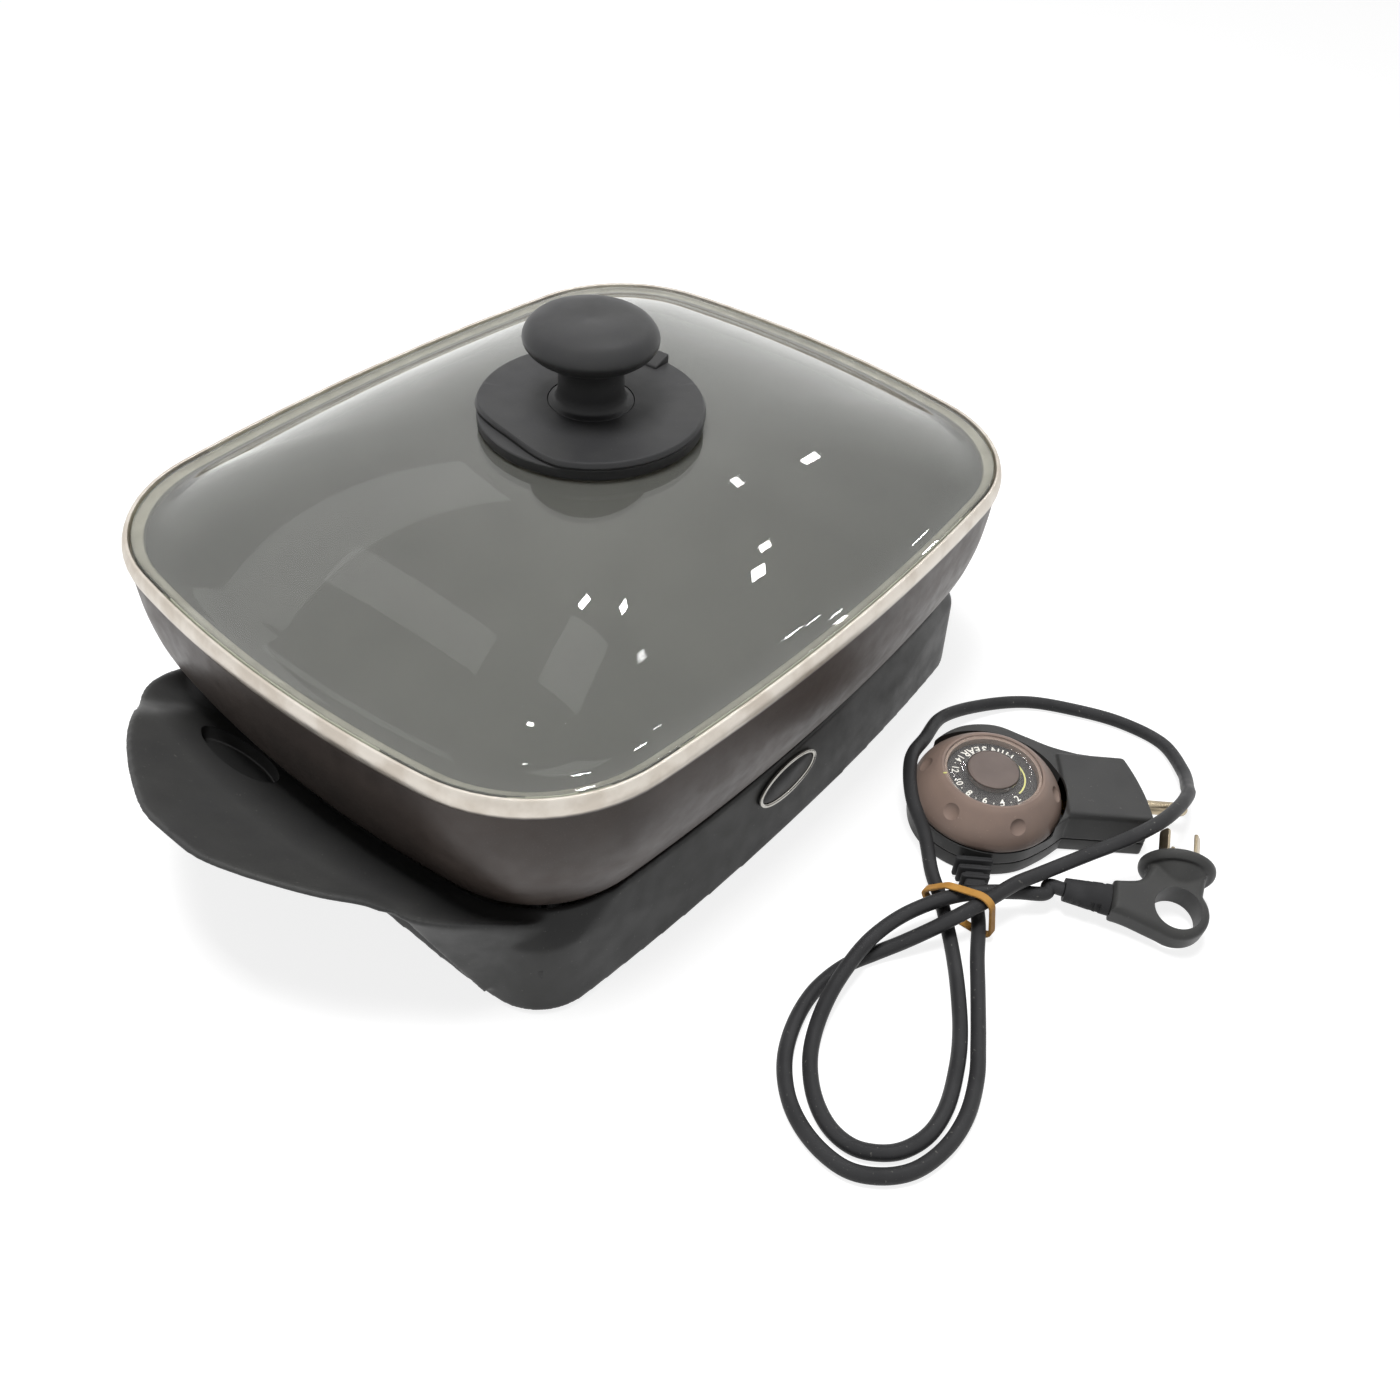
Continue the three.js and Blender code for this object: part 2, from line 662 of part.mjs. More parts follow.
// Top of a wing as a grid: stations along it, each from the skirt over the shoulder to the edge
function wingTop(steps, across) {
  const place = ([span, reach, rise]) => new THREE.Vector3(
    wingRootX + reach * wingReach, span * wingHalfSpan, skirtTopEnd + rise * wingRise,
  );
  const root = curveSteps(wingRootShares.map((span) => skirtTopBeside(span * wingHalfSpan)), steps);
  const shoulder = curveSteps(wingShoulderShares.map(place), steps);
  const edge = curveSteps(wingEdgeShares.map(place), steps);
  const half = edge.map((p, k) => curveSteps([root[k], shoulder[k], p], across));
  const mirrored = half.slice(1).reverse().map((row) => row.map((p) => new THREE.Vector3(p.x, -p.y, p.z)));
  return [...mirrored, ...half];
}
function wingGeometry(side) {
  const steps = 18;
  const across = 5;
  const grid = wingTop(steps, across);
  const at = (j, i) => grid[THREE.MathUtils.clamp(j, 0, 2 * steps)][THREE.MathUtils.clamp(i, 0, across)];
  const rings = grid.map((row, j) => {
    const under = row.map((p, i) => {
      const along = at(j + 1, i).clone().sub(at(j - 1, i));
      const over = at(j, i + 1).clone().sub(at(j, i - 1)).normalize();
      const down = along.cross(over).normalize();
      const lip = i === across ? 0.6 : 0;
      return p.clone().addScaledVector(down, wingThickness * (1 - lip)).addScaledVector(over, -wingThickness * lip);
    });
    return [...row, ...under.reverse()].map((p) => new THREE.Vector3(side * p.x, p.y, p.z));
  });
  return loft(rings);
}
const wingSlope = Math.atan2(wingRise * 0.526, wingReach * 0.6);
const recessX = wingRootX + recessReach;
const recessZ = skirtTopEnd + Math.tan(wingSlope) * recessReach;
function recessPlaced(outline, low, high, side) {
  return prism(outline, low, high)
    .rotateY(-wingSlope)
    .translate(recessX, recessOffsetY, recessZ)
    .applyMatrix4(new THREE.Matrix4().makeScale(side, 1, 1));
}
function flipped(geometry) {
  const plain = tidy(geometry);
  const index = Array.from(plain.index.array);
  for (let i = 0; i < index.length; i += 3) [index[i + 1], index[i + 2]] = [index[i + 2], index[i + 1]];
  plain.setIndex(index);
  return plain;
}
function baseGeometry() {
  const floor = bowedOutline(baseForm, 0);
  const floorInner = bowedOutline(baseForm, skirtWall);
  const creaseLine = bowedOutline(baseForm, creaseInset);
  const creaseInner = bowedOutline(baseForm, creaseInset + skirtWall);
  const panAt = (z, out) => bowedOutline(rimForm, panInsetAt(z) - out);
  const topOuter = floor.map((p, i) => {
    const z = skirtTopAt(p);
    const q = panAt(z, basePanGap + skirtWall)[i];
    return new THREE.Vector3(q.x, q.y, z);
  });
  const topInner = floor.map((p, i) => {
    const z = skirtTopAt(p);
    const q = panAt(z, basePanGap)[i];
    return new THREE.Vector3(q.x, q.y, z);
  });
  const atCrease = (outline) => outline.map((p, i) => new THREE.Vector3(p.x, p.y, creaseAt(floor[i])));
  const skirt = loft([
    raised(floor, footHeight), atCrease(creaseLine), topOuter, topInner,
    atCrease(creaseInner).map((p) => p.setZ(p.z - skirtWall / 2)), raised(floorInner, footHeight),
  ], true);
  const joined = [wingGeometry(-1), wingGeometry(1)];
  const cuts = [];
  for (const side of [-1, 1]) {
    const turned = side < 0 ? flipped : tidy;
    const cupOutline = ovalOutline(recessHalfWide + recessSkin, recessHalfLong + recessSkin, 18);
    joined.push(turned(recessPlaced(cupOutline, -recessDepth - recessSkin, -bite, side)));
    cuts.push(turned(recessPlaced(ovalOutline(recessHalfWide, recessHalfLong, 18), -recessDepth, recessDepth * 2, side)));
  }
  const cornerX = baseHalfLong - baseBowShort - baseCornerRadius;
  const cornerY = baseHalfWide - baseBowLong - baseCornerRadius;
  for (const [sx, sy] of fourCorners) {
    const bossX = sx * panBossLong;
    const bossY = sy * panBossWide;
    const low = shieldHeight + shieldThickness + gap;
    joined.push(upright(bossRadius, low, bossTop, bossX, bossY, 14));
    cuts.push(upright(screwRadius + gap, low - overrun, bossTop + overrun, bossX, bossY, 10));
    const reach = new THREE.Vector2(
      sx * (cornerX + baseCornerRadius * 0.68 - panBossLong), sy * (cornerY + baseCornerRadius * 0.68 - panBossWide),
    );
    const ribFrom = bossRadius / 2 + screwRadius;
    const ribLength = reach.length() - ribFrom;
    const rib = new THREE.BoxGeometry(ribLength, ribThickness, ribHeight)
      .translate(ribFrom + ribLength / 2, 0, low + ribHeight / 2)
      .rotateZ(reach.angle())
      .translate(bossX, bossY, 0);
    joined.push(rib);
    const footX = sx * (cornerX + footPlaceRadius * Math.SQRT1_2);
    const footY = sy * (cornerY + footPlaceRadius * Math.SQRT1_2);
    joined.push(upright(footRadius, footPadHeight + gap, footPadHeight + 2 * footPadHeight, footX, footY, 10));
  }
  cuts.push(standing(shroudOutline(shroudWall + gap), socketBlockY - overrun, baseHalfWide + overrun));
  return build(skirt, joined, cuts);
}
add(skillet, 'base_moulding', baseGeometry(), blackMoulding);

// Rubber feet under the corner pads
fourCorners.forEach(([sx, sy], i) => {
  const cornerX = baseHalfLong - baseBowShort - baseCornerRadius;
  const cornerY = baseHalfWide - baseBowLong - baseCornerRadius;
  const foot = revolve([
    [0, 0], [footRadius * 0.8, 0], [footRadius * 0.92, footPadHeight * 0.3], [footRadius * 0.92, footPadHeight], [0, footPadHeight],
  ], 14);
  const name = ['foot_back_right', 'foot_back_left', 'foot_front_left', 'foot_front_right'][i];
  add(skillet, name, foot.translate(
    sx * (cornerX + footPlaceRadius * Math.SQRT1_2), sy * (cornerY + footPlaceRadius * Math.SQRT1_2), 0,
  ), rubber);
});

// Heat shield with vent slots, clamped under the base bosses
function shieldGeometry() {
  const plate = prism(bowedOutline(shieldForm), shieldHeight, shieldHeight + shieldThickness);
  const cuts = fourCorners.map(([sx, sy]) => upright(
    screwRadius + gap, shieldHeight - overrun, shieldHeight + shieldThickness + overrun,
    sx * panBossLong, sy * panBossWide, 10,
  ));
  for (const side of [-1, 1]) {
    for (let i = -1; i <= 1; i += 1) {
      cuts.push(prism(
        roundedRectangle(shieldSlotLength / 2, shieldSlotWidth / 2, shieldSlotWidth / 2.2, side * shieldHalfLong / 3, i * shieldSlotPitch, 2),
        shieldHeight - overrun, shieldHeight + shieldThickness + overrun,
      ));
    }
  }
  return build(plate, [], cuts);
}
add(skillet, 'heat_shield', shieldGeometry(), dullSteel);

const cornerNames = ['back_right', 'back_left', 'front_left', 'front_right'];
fourCorners.forEach(([sx, sy], i) => {
  const under = shieldHeight - gap;
  const tip = bossTop + screwGrip;
  add(skillet, `clamp_screw_${cornerNames[i]}`, revolve([
    [0, under - screwHeadHeight], [screwHeadRadius * 0.75, under - screwHeadHeight],
    [screwHeadRadius, under - screwHeadHeight * 0.55], [screwHeadRadius, under], [screwRadius, under],
    [screwRadius, tip], [0, tip + screwRadius / 2],
  ], 10).translate(sx * panBossLong, sy * panBossWide, 0), dullSteel);
});

// Badge: a bare plate in an oval ring, leaning with the skirt
const creaseFront = baseHalfWide - creaseInset;
const skirtFrontTop = rimHalfWide - panInsetAt(skirtTopFront) + basePanGap + skirtWall;
const badgeLean = Math.atan2(creaseFront - skirtFrontTop, skirtTopFront - creaseLow);
function onSkirt(geometry) {
  const face = creaseFront - (badgeCentreZ - creaseLow) * Math.tan(badgeLean);
  return geometry.rotateX(Math.PI / 2 - badgeLean).translate(badgeCentreX, -face - gap, badgeCentreZ);
}
add(skillet, 'badge_ring', onSkirt(build(
  softPrism(ovalOutline(badgeHalfWide, badgeHalfHigh, 24), 0, badgeDepth, badgeRing / 4, 1),
  [],
  [prism(ovalOutline(badgeHalfWide - badgeRing, badgeHalfHigh - badgeRing, 24), -overrun, badgeDepth + overrun)],
)), brightSteel);
add(skillet, 'badge_plate', onSkirt(prism(
  ovalOutline(badgeHalfWide - badgeRing - gap, badgeHalfHigh - badgeRing - gap, 24), 0, badgePlateDepth,
)), knobMoulding);

// Glass lid
const lid = new THREE.Group();
skillet.add(lid);
const glassInset = lipTopWidth + glassFit;
const glassLow = seatHeight + gap;
const glassTop = glassLow + glassThickness + domeRise;
const ventHolePlace = ventDiscRadius - ventCutDepth / 2;
function ventHole() {
  const angle = ventCutAngle - ventTurn;
  return upright(
    ventHoleRadius, glassLow, glassTop + domeRise,
    ventHolePlace * Math.cos(angle), ventHolePlace * Math.sin(angle), 12,
  );
}
function glassGeometry() {
  const edgeRing = bowedOutline(rimForm, glassInset);
  const flangeRing = bowedOutline(rimForm, glassInset + glassFlange);
  const spread = edgeRing.map((p) => Math.atan2(p.y / rimHalfWide, p.x / rimHalfLong));
  const skin = (lift) => (t) => flangeRing.map((p, i) => {
    const x = THREE.MathUtils.lerp(p.x, knobPadRadius * Math.cos(spread[i]), t);
    const y = THREE.MathUtils.lerp(p.y, knobPadRadius * Math.sin(spread[i]), t);
    return new THREE.Vector3(x, y, glassLow + lift + domeRise * (1 - (1 - t) ** 2));
  });
  const hole = (z) => spread.map((angle) => new THREE.Vector3(knobHole * Math.cos(angle), knobHole * Math.sin(angle), z));
  const soft = glassThickness / 4;
  const domeShares = [0, 0.09, 0.22, 0.42, 0.68, 1];
  const under = [...[0, 0.3, 1].map((t) => skin(0)(t)), hole(glassTop - glassThickness)];
  const over = [...domeShares.map((t) => skin(glassThickness)(t)), hole(glassTop)].reverse();
  const edge = [
    raised(bowedOutline(rimForm, glassInset + soft), glassLow + glassThickness),
    raised(edgeRing, glassLow + glassThickness - soft),
    raised(edgeRing, glassLow + soft),
    raised(bowedOutline(rimForm, glassInset + soft), glassLow),
  ];
  return build(loft([...under, ...over, ...edge], true), [], [ventHole()]);
}
add(lid, 'lid_glass', glassGeometry(), tintedGlass);

// Knob stack on the lid's axis
const gasketLow = glassTop + gap;
const discLow = gasketLow + gasketThickness + gap;
const discTop = discLow + skirtDiscHeight;
const ventLow = discTop + gap;
const ventTop = ventLow + ventDiscThickness;
const stemTop = discTop + stemHeight;
add(lid, 'knob_gasket', revolve([
  [knobHole, gasketLow], [gasketRadius, gasketLow], [gasketRadius, gasketLow + gasketThickness],
  [knobHole, gasketLow + gasketThickness], [knobHole, gasketLow],
], 24), silicone);
add(lid, 'knob_disc', build(revolve([
  [knobHole, discLow], [gasketRadius + gap, discLow], [gasketRadius + bite, discLow - skirtDiscDroop],
  [skirtDiscRadius * 0.98, discLow - skirtDiscDroop], [skirtDiscRadius, discLow - skirtDiscDroop * 0.4],
  [skirtDiscRadius, discTop - skirtDiscHeight * 0.3], [skirtDiscRadius * 0.985, discTop],
  [knobHole, discTop], [knobHole, discLow],
], 32), [], [ventHole()]), knobMoulding);

// Steam vent ring: turns round the stem, with a finger cut in its edge and a thumb tab
function ventRingGeometry() {
  const soft = ventDiscThickness / 3;
  const disc = revolve([
    [ventBore, ventLow], [ventDiscRadius - soft, ventLow], [ventDiscRadius, ventLow + soft],
    [ventDiscRadius - soft, ventTop], [ventDiscRadius * 0.62, ventTop], [ventBore, ventTop + soft], [ventBore, ventLow],
  ], 40);
  const cut = box(
    2 * ventCutDepth, 2 * ventDiscRadius, ventDiscThickness + 2 * overrun,
    ventDiscRadius, 0, (ventLow + ventTop) / 2,
  ).rotateZ(ventCutAngle);
  const tabBase = ventDiscRadius - tabLength;
  const tab = new THREE.ExtrudeGeometry(new THREE.Shape([
    new THREE.Vector2(tabBase, -bite), new THREE.Vector2(tabBase + tabLength, -bite),
    new THREE.Vector2(tabBase + tabLength, tabHeight), new THREE.Vector2(tabBase, tabHeight * 0.3),
  ]), { depth: tabWidth, bevelEnabled: false })
    .rotateX(Math.PI / 2).translate(0, tabWidth / 2, ventTop).rotateZ(ventTabAngle);
  return build(disc, [tab], [cut]);
}
add(lid, 'vent_ring', ventRingGeometry(), knobMoulding);

add(lid, 'knob_stem', revolve([
  [knobScrewRadius + gap, discTop + gap], [stemFootRadius, discTop + gap], [stemFootRadius, ventTop + gap],
  [stemRadius * 1.1, ventTop + stemHeight * 0.12], [stemRadius, ventTop + stemHeight * 0.3],
  [stemRadius * 0.97, stemTop - stemHeight * 0.25], [stemRadius * 1.06, stemTop],
  [knobScrewRadius + gap, stemTop], [knobScrewRadius + gap, discTop + gap],
], 24), knobMoulding);
const capLow = stemTop + gap;
const capTop = capLow + capHeight;
add(lid, 'knob_cap', revolve([
  [0, capLow + knobScrewHead], [knobScrewRadius + gap, capLow + knobScrewHead], [knobScrewRadius + gap, capLow],
  [capRadius * 0.62, capLow], [capRadius * 0.88, capLow + capHeight * 0.16], [capRadius * 0.985, capLow + capHeight * 0.36],
  [capRadius, capLow + capHeight * 0.5], [capRadius * 0.965, capLow + capHeight * 0.66],
  [capRadius * 0.86, capLow + capHeight * 0.84], [capRadius * 0.66, capLow + capHeight * 0.96],
  [capRadius * 0.36, capTop], [0, capTop - capHeight * 0.04],
], 24), knobMoulding);

// Washer and screw from below, through glass, disc and stem into the cap
const washerTop = glassTop - glassThickness - gap;
add(lid, 'knob_washer', revolve([
  [knobScrewRadius + gap, washerTop - knobWasherThickness], [knobWasherRadius, washerTop - knobWasherThickness],
  [knobWasherRadius, washerTop], [knobScrewRadius + gap, washerTop], [knobScrewRadius + gap, washerTop - knobWasherThickness],
], 18), brightSteel);
const knobHeadTop = washerTop - knobWasherThickness - gap;
add(lid, 'knob_screw', revolve([
  [0, knobHeadTop - knobScrewRadius], [knobScrewHead * 0.55, knobHeadTop - knobScrewRadius],
  [knobScrewHead * 0.85, knobHeadTop - knobScrewRadius * 0.4], [knobScrewHead * 0.85, knobHeadTop],
  [knobScrewRadius, knobHeadTop], [knobScrewRadius, capLow + knobScrewHead - gap], [0, capLow + knobScrewHead - gap],
], 14), brightSteel);

// Thermostat probe
const probe = new THREE.Group();
probe.position.set(probePlaceX, probePlaceY, 0);
probe.rotation.z = probeTurn;
skillet.add(probe);

function noseEnd(inset, back = 0) {
  const steps = 6;
  return Array.from({ length: steps + 1 }, (_, i) => {
    const t = -1 + (2 * i) / steps;
    const x = noseLength - inset - back - noseBulge * t * t - noseSlant * t;
    return new THREE.Vector2(x, noseCentreY + (noseHalfWide - inset) * t);
  });
}
function housingOutline(inset = 0) {
  const round = new THREE.SplineCurve(housingShares.map(([sx, sy]) => {
    const p = new THREE.Vector2(sx * housingRadius, sy * housingRadius);
    return p.addScaledVector(p.clone().normalize(), -inset);
  })).getPoints(30);
  return [...noseEnd(inset), ...round];
}
function noseOutline(inset = 0) {
  const half = noseHalfWide - inset;
  return [
    new THREE.Vector2(housingRadius, noseCentreY + half), new THREE.Vector2(housingRadius, noseCentreY - half),
    ...noseEnd(inset),
  ];
}
const rodHeight = noseHeight / 2;
const dialLow = deckHeight + 2 * gap;
const pocketRadius = dialRadius + 4 * gap;
const lowerTop = shellParting - gap / 2;
const upperLow = shellParting + gap / 2;
const contactPlace = [-1, 1].map((side) => noseCentreY + side * halfPitch);
const noseFace = noseLength - noseBulge - noseSlant - noseRecess - noseWallDepth;
const glandFace = -housingRadius * 1.01;

function glandMouth() {
  const clear = 2 * gap;
  return box(
    glandWidth * glandCoreShare + clear, 6 * shellWall, glandHeight * glandCoreShare + clear,
    glandOffset, glandFace, glandHeightAxis,
  );
}

function lowerShellGeometry() {
  const body = softPrism(housingOutline(), 0, lowerTop + shellWall, shellWall * 0.8, 2);
  const level = box(4 * noseLength, 4 * noseLength, noseLength, 0, 0, lowerTop + noseLength / 2);
  const cavity = prism(housingOutline(shellWall), shellWall, lowerTop + overrun);
  const mouth = box(
    2 * (noseLength - noseFace), 2 * (noseHalfWide - shellWall), noseHeight,
    noseLength, noseCentreY, shellWall + noseHeight / 2,
  );
  return build(body, [], [level, cavity, mouth, glandMouth()]);
}
add(probe, 'probe_lower_shell', lowerShellGeometry(), blackMoulding);

function upperShellGeometry() {
  const deck = prism(housingOutline(), upperLow, deckHeight);
  const nose = softPrism(noseOutline(), upperLow - shellWall, noseHeight, shellWall * 0.9, 2);
  const crescent = softPrism(housingOutline(), deckHeight - shellWall, rearWallHeight, shellWall * 0.5, 1);
  const level = box(4 * noseLength, 4 * noseLength, noseLength, 0, 0, upperLow - noseLength / 2);
  const pocket = upright(pocketRadius, deckHeight, noseHeight + overrun, 0, 0, 40);
  const cavity = prism(housingOutline(shellWall), upperLow - overrun, deckHeight - shellWall);
  const noseCavity = prism(noseOutline(shellWall), upperLow - overrun, noseHeight - shellWall);
  const mouth = box(
    2 * (noseLength - noseFace), 2 * (noseHalfWide - shellWall), noseHeight,
    noseLength, noseCentreY, noseHeight / 2 - shellWall,
  );
  const boreCut = upright(postRadius - shellWall, upperLow, deckHeight + overrun, 0, 0, 24);
  return build(deck, [nose, crescent], [level, pocket, cavity, noseCavity, mouth, glandMouth(), boreCut]);
}
add(probe, 'probe_upper_shell', upperShellGeometry(), blackMoulding);

// Dial ring, turning on the deck round the fixed scale post
const dialTop = dialLow + dialHeight;
function dialGeometry() {
  const seatTop = dialTop - windowSeat;
  const ring = revolve([
    [dialBore, dialLow], [dialRadius - gap, dialLow], [dialRadius, dialLow + dialRim * 0.4], [dialRadius, dialLow + dialRim],
    [dialRadius * 0.985, dialLow + dialHeight * 0.24], [dialRadius * 0.945, dialLow + dialHeight * 0.42],
    [dialRadius * 0.885, dialLow + dialHeight * 0.6], [dialRadius * 0.81, dialLow + dialHeight * 0.78],
    [dialRadius * 0.735, dialLow + dialHeight * 0.93], [windowRadius * 1.065, dialTop], [windowRadius + gap, dialTop],
    [windowRadius + gap, seatTop], [dialBore, seatTop], [dialBore, dialLow],
  ], 32);
  const dimples = [];
  for (let i = 0; i < dimpleCount; i += 1) {
    const angle = ((i + 0.35) * 2 * Math.PI) / dimpleCount;
    const lean = Math.PI / 4;
    const out = dimplePlace + (dimpleRadius - dimpleDepth) * Math.sin(lean);
    const up = dialLow + dialHeight * 0.63 + (dimpleRadius - dimpleDepth) * Math.cos(lean);
    dimples.push(new THREE.SphereGeometry(dimpleRadius, 8, 8).translate(out * Math.cos(angle), out * Math.sin(angle), up));
  }
  return build(ring, [], dimples);
}
const dialMesh = add(probe, 'dial_ring', dialGeometry(), dialMoulding);
const windowLow = dialTop - windowSeat + gap / 2;
add(probe, 'dial_window', revolve([
  [centreCapRadius + 2 * gap, windowLow], [windowRadius, windowLow], [windowRadius, windowLow + windowThickness],
  [centreCapRadius + 2 * gap, windowLow + windowThickness], [centreCapRadius + 2 * gap, windowLow],
], 32), clearPlastic);

// Fixed scale under the window, on its post, with a bare centre cap
const scaleTop = windowLow - scaleDrop;
add(probe, 'scale_disc', revolve([
  [0, deckHeight + gap], [postRadius, deckHeight + gap], [postRadius, scaleTop - scaleThickness],
  [scaleRadius, scaleTop - scaleThickness], [scaleRadius, scaleTop], [0, scaleTop],
], 28), knobMoulding);
add(probe, 'centre_cap', revolve([
  [0, scaleTop + gap], [centreCapRadius, scaleTop + gap], [centreCapRadius, windowLow + windowThickness],
  [centreCapRadius * 0.9, windowLow + windowThickness + gap], [0, windowLow + windowThickness + gap],
], 28), knobMoulding);

// Sensing rod and the thermostat it drives
const rodTip = noseLength + rodReach;
const rodBack = noseFace - rodInside;
add(probe, 'sensing_rod', revolve([
  [0, rodBack], [rodRadius, rodBack], [rodRadius, rodTip - rodRadius], [rodRadius * 0.8, rodTip - rodRadius * 0.35],
  [rodRadius * 0.4, rodTip], [0, rodTip],
], 14).rotateY(Math.PI / 2).translate(0, noseCentreY, rodHeight), brightSteel);
const collarFrom = noseFace - collarLength - gap;
add(probe, 'rod_collar', build(
  rodAlongX(collarRadius, collarFrom, collarFrom + collarLength, noseCentreY, rodHeight, 14),
  [],
  [rodAlongX(rodRadius + gap, collarFrom - overrun, collarFrom + collarLength + overrun, noseCentreY, rodHeight, 14)],
), brass);

// End wall of the nose, with a hole for the rod and one for each pin, and the contacts behind it
function noseWallGeometry() {
  const inset = shellWall + gap;
  const half = noseHalfWide - inset;
  const outline = [
    ...noseEnd(inset, noseRecess - inset), new THREE.Vector2(noseFace, noseCentreY + half),
    new THREE.Vector2(noseFace, noseCentreY - half),
  ];
  const through = (radius, y, sides) => rodAlongX(radius, noseFace - overrun, noseLength + overrun, y, rodHeight, sides);
  return build(
    prism(outline, inset, noseHeight - inset),
    [],
    [through(rodRadius + gap, noseCentreY, 14), ...contactPlace.map((y) => through(contactBore + gap, y, 12))],
  );
}
add(probe, 'nose_wall', noseWallGeometry(), ceramic);
const sleeveFrom = noseFace - gap - contactLength;
const sleeveTo = noseFace - gap;
['near', 'far'].forEach((name, i) => {
  const y = contactPlace[i];
  add(probe, `contact_sleeve_${name}`, build(
    rodAlongX(contactRadius, sleeveFrom, sleeveTo, y, rodHeight, 16),
    [],
    [rodAlongX(contactBore, sleeveFrom + shellWall, sleeveTo + overrun, y, rodHeight, 14)],
  ), brass);
});

const frameEnd = rodBack - gap;
const frameStart = frameEnd - frameLength;
const frameLow = shellWall + gap;
const bladeMid = frameStart + frameLength / 2;
add(probe, 'thermostat_frame', build(
  box(frameLength, frameWidth, frameThickness, bladeMid, noseCentreY, frameLow + frameThickness / 2),
  [
    box(frameThickness, frameWidth, rodHeight - frameLow, frameEnd - frameThickness / 2, noseCentreY, (frameLow + rodHeight) / 2),
  ],
), dullSteel);
const bladeLow = frameLow + frameThickness + bladeSpacing / 2;
['contact_blade_fixed', 'contact_blade_moving'].forEach((name, i) => {
  const low = bladeLow + i * bladeSpacing;
  const from = frameEnd - frameThickness - gap - bladeLength;
  const blade = box(bladeLength, bladeWidth, bladeThickness, from + bladeLength / 2, noseCentreY, low + bladeThickness / 2);
  const tipZ = i === 0 ? low + bladeThickness + bladeThickness / 2 : low - bladeThickness / 2;
  const button = upright(bladeWidth / 4, tipZ - bladeThickness * 0.7, tipZ + bladeThickness * 0.7, from + bladeWidth / 2, noseCentreY, 12);
  add(probe, name, build(blade, [button]), brass);
});
const stackLow = frameLow + frameThickness + gap;
add(probe, 'blade_spacer', box(
  bladeWidth, bladeWidth, bladeLow - stackLow - gap,
  frameEnd - frameThickness - gap - bladeWidth / 2 - bite, noseCentreY, (stackLow + bladeLow - gap) / 2,
), ceramic);
add(probe, 'signal_lamp', rodAlongX(
  lampRadius, frameStart - lampLength - gap, frameStart - gap, noseCentreY, shellWall + gap + lampRadius, 14,
), lampAmber);

const shellScrewShares = [[-0.62, 0.2], [0.1, 0.85], [0.75, -0.5]];
shellScrewShares.forEach(([sx, sy], i) => {
  add(probe, `shell_screw_${i + 1}`, revolve([
    [0, shellWall + gap], [screwRadius, shellWall + gap], [screwRadius, deckHeight - shellWall - gap],
    [0, deckHeight - shellWall - gap],
  ], 8).translate(sx * housingRadius, sy * housingRadius, 0), dullSteel);
});

// Ribbed strain relief between the shells
const reliefTo = glandFace - glandLength;
function glandGeometry() {
  const pitch = glandLength / glandRibs;
  const ribs = [];
  for (let i = 0; i < glandRibs; i += 1) {
    const share = 1 - (i * (1 - glandCoreShare)) / (glandRibs - 1) * 0.8;
    const at = glandFace - 2 * gap - pitch * (i + 0.31);
    ribs.push(box(glandWidth * share, pitch * 0.62, glandHeight * share, glandOffset, at, glandHeightAxis));
  }
  const coreFrom = glandFace + 4 * shellWall;
  const core = box(
    glandWidth * glandCoreShare, coreFrom - reliefTo, glandHeight * glandCoreShare,
    glandOffset, (coreFrom + reliefTo) / 2, glandHeightAxis,
  );
  const collar = box(
    glandWidth * 0.7, shellWall, glandHeight * 0.78, glandOffset, coreFrom - shellWall / 2, glandHeightAxis,
  );
  return build(core, [...ribs, collar]);
}
add(probe, 'probe_relief', glandGeometry(), rubber);

// Mains plug
const plug = new THREE.Group();
const plugAxisHeight = flangeRadius * Math.cos(plugTilt) + flangeThickness * Math.sin(plugTilt) + gap;
plug.position.set(plugPlaceX, plugPlaceY, plugAxisHeight);
plug.rotation.set(0, -plugTilt, plugTurn, 'ZYX');
skillet.add(plug);
function plugBodyGeometry() {
  const holeX = -fingerHoleSetback;
  const outline = [];
  const handle = handleOuterRadius;
  const arc = (cx, cy, radius, from, to, steps) => {
    for (let i = 0; i <= steps; i += 1) {
      const angle = from + ((to - from) * i) / steps;
      outline.push(new THREE.Vector2(cx + radius * Math.cos(angle), cy + radius * Math.sin(angle)));
    }
  };
  arc(holeX, 0, handle, Math.PI * 0.86, Math.PI * 1.72, 10);
  outline.push(new THREE.Vector2(-flangeThickness + bite, -handle * 0.86));
  outline.push(new THREE.Vector2(-flangeThickness + bite, handle * 0.86));
  outline.push(new THREE.Vector2(holeX + handle * 0.78, handle * 1.12));
  outline.push(new THREE.Vector2(holeX + neckHalfWidth * 1.15, neckLength * 0.8));
  outline.push(new THREE.Vector2(holeX + neckHalfWidth, neckLength));
  outline.push(new THREE.Vector2(holeX - neckHalfWidth, neckLength));
  outline.push(new THREE.Vector2(holeX - neckHalfWidth * 1.1, neckLength * 0.75));
  const half = handleHalfThickness;
  const body = softPrism(outline, -half, half, half * 0.45, 2);
  const flange = revolve([
    [0, -flangeThickness], [flangeRadius * 0.9, -flangeThickness], [flangeRadius, -flangeThickness * 0.6],
    [flangeRadius, 0], [0, 0],
  ], 24).rotateY(Math.PI / 2);
  const crown = revolve([
    [0, -flangeThickness * 2.6], [half, -flangeThickness * 2.6], [flangeRadius * 0.8, -flangeThickness * 0.9], [0, -flangeThickness * 0.9],
  ], 20).rotateY(Math.PI / 2);
  const hole = upright(fingerHoleRadius, -half - overrun, half + overrun, holeX, 0, 22);
  return build(body, [flange, crown], [hole]);
}
add(plug, 'plug_body', plugBodyGeometry(), blackMoulding, true);

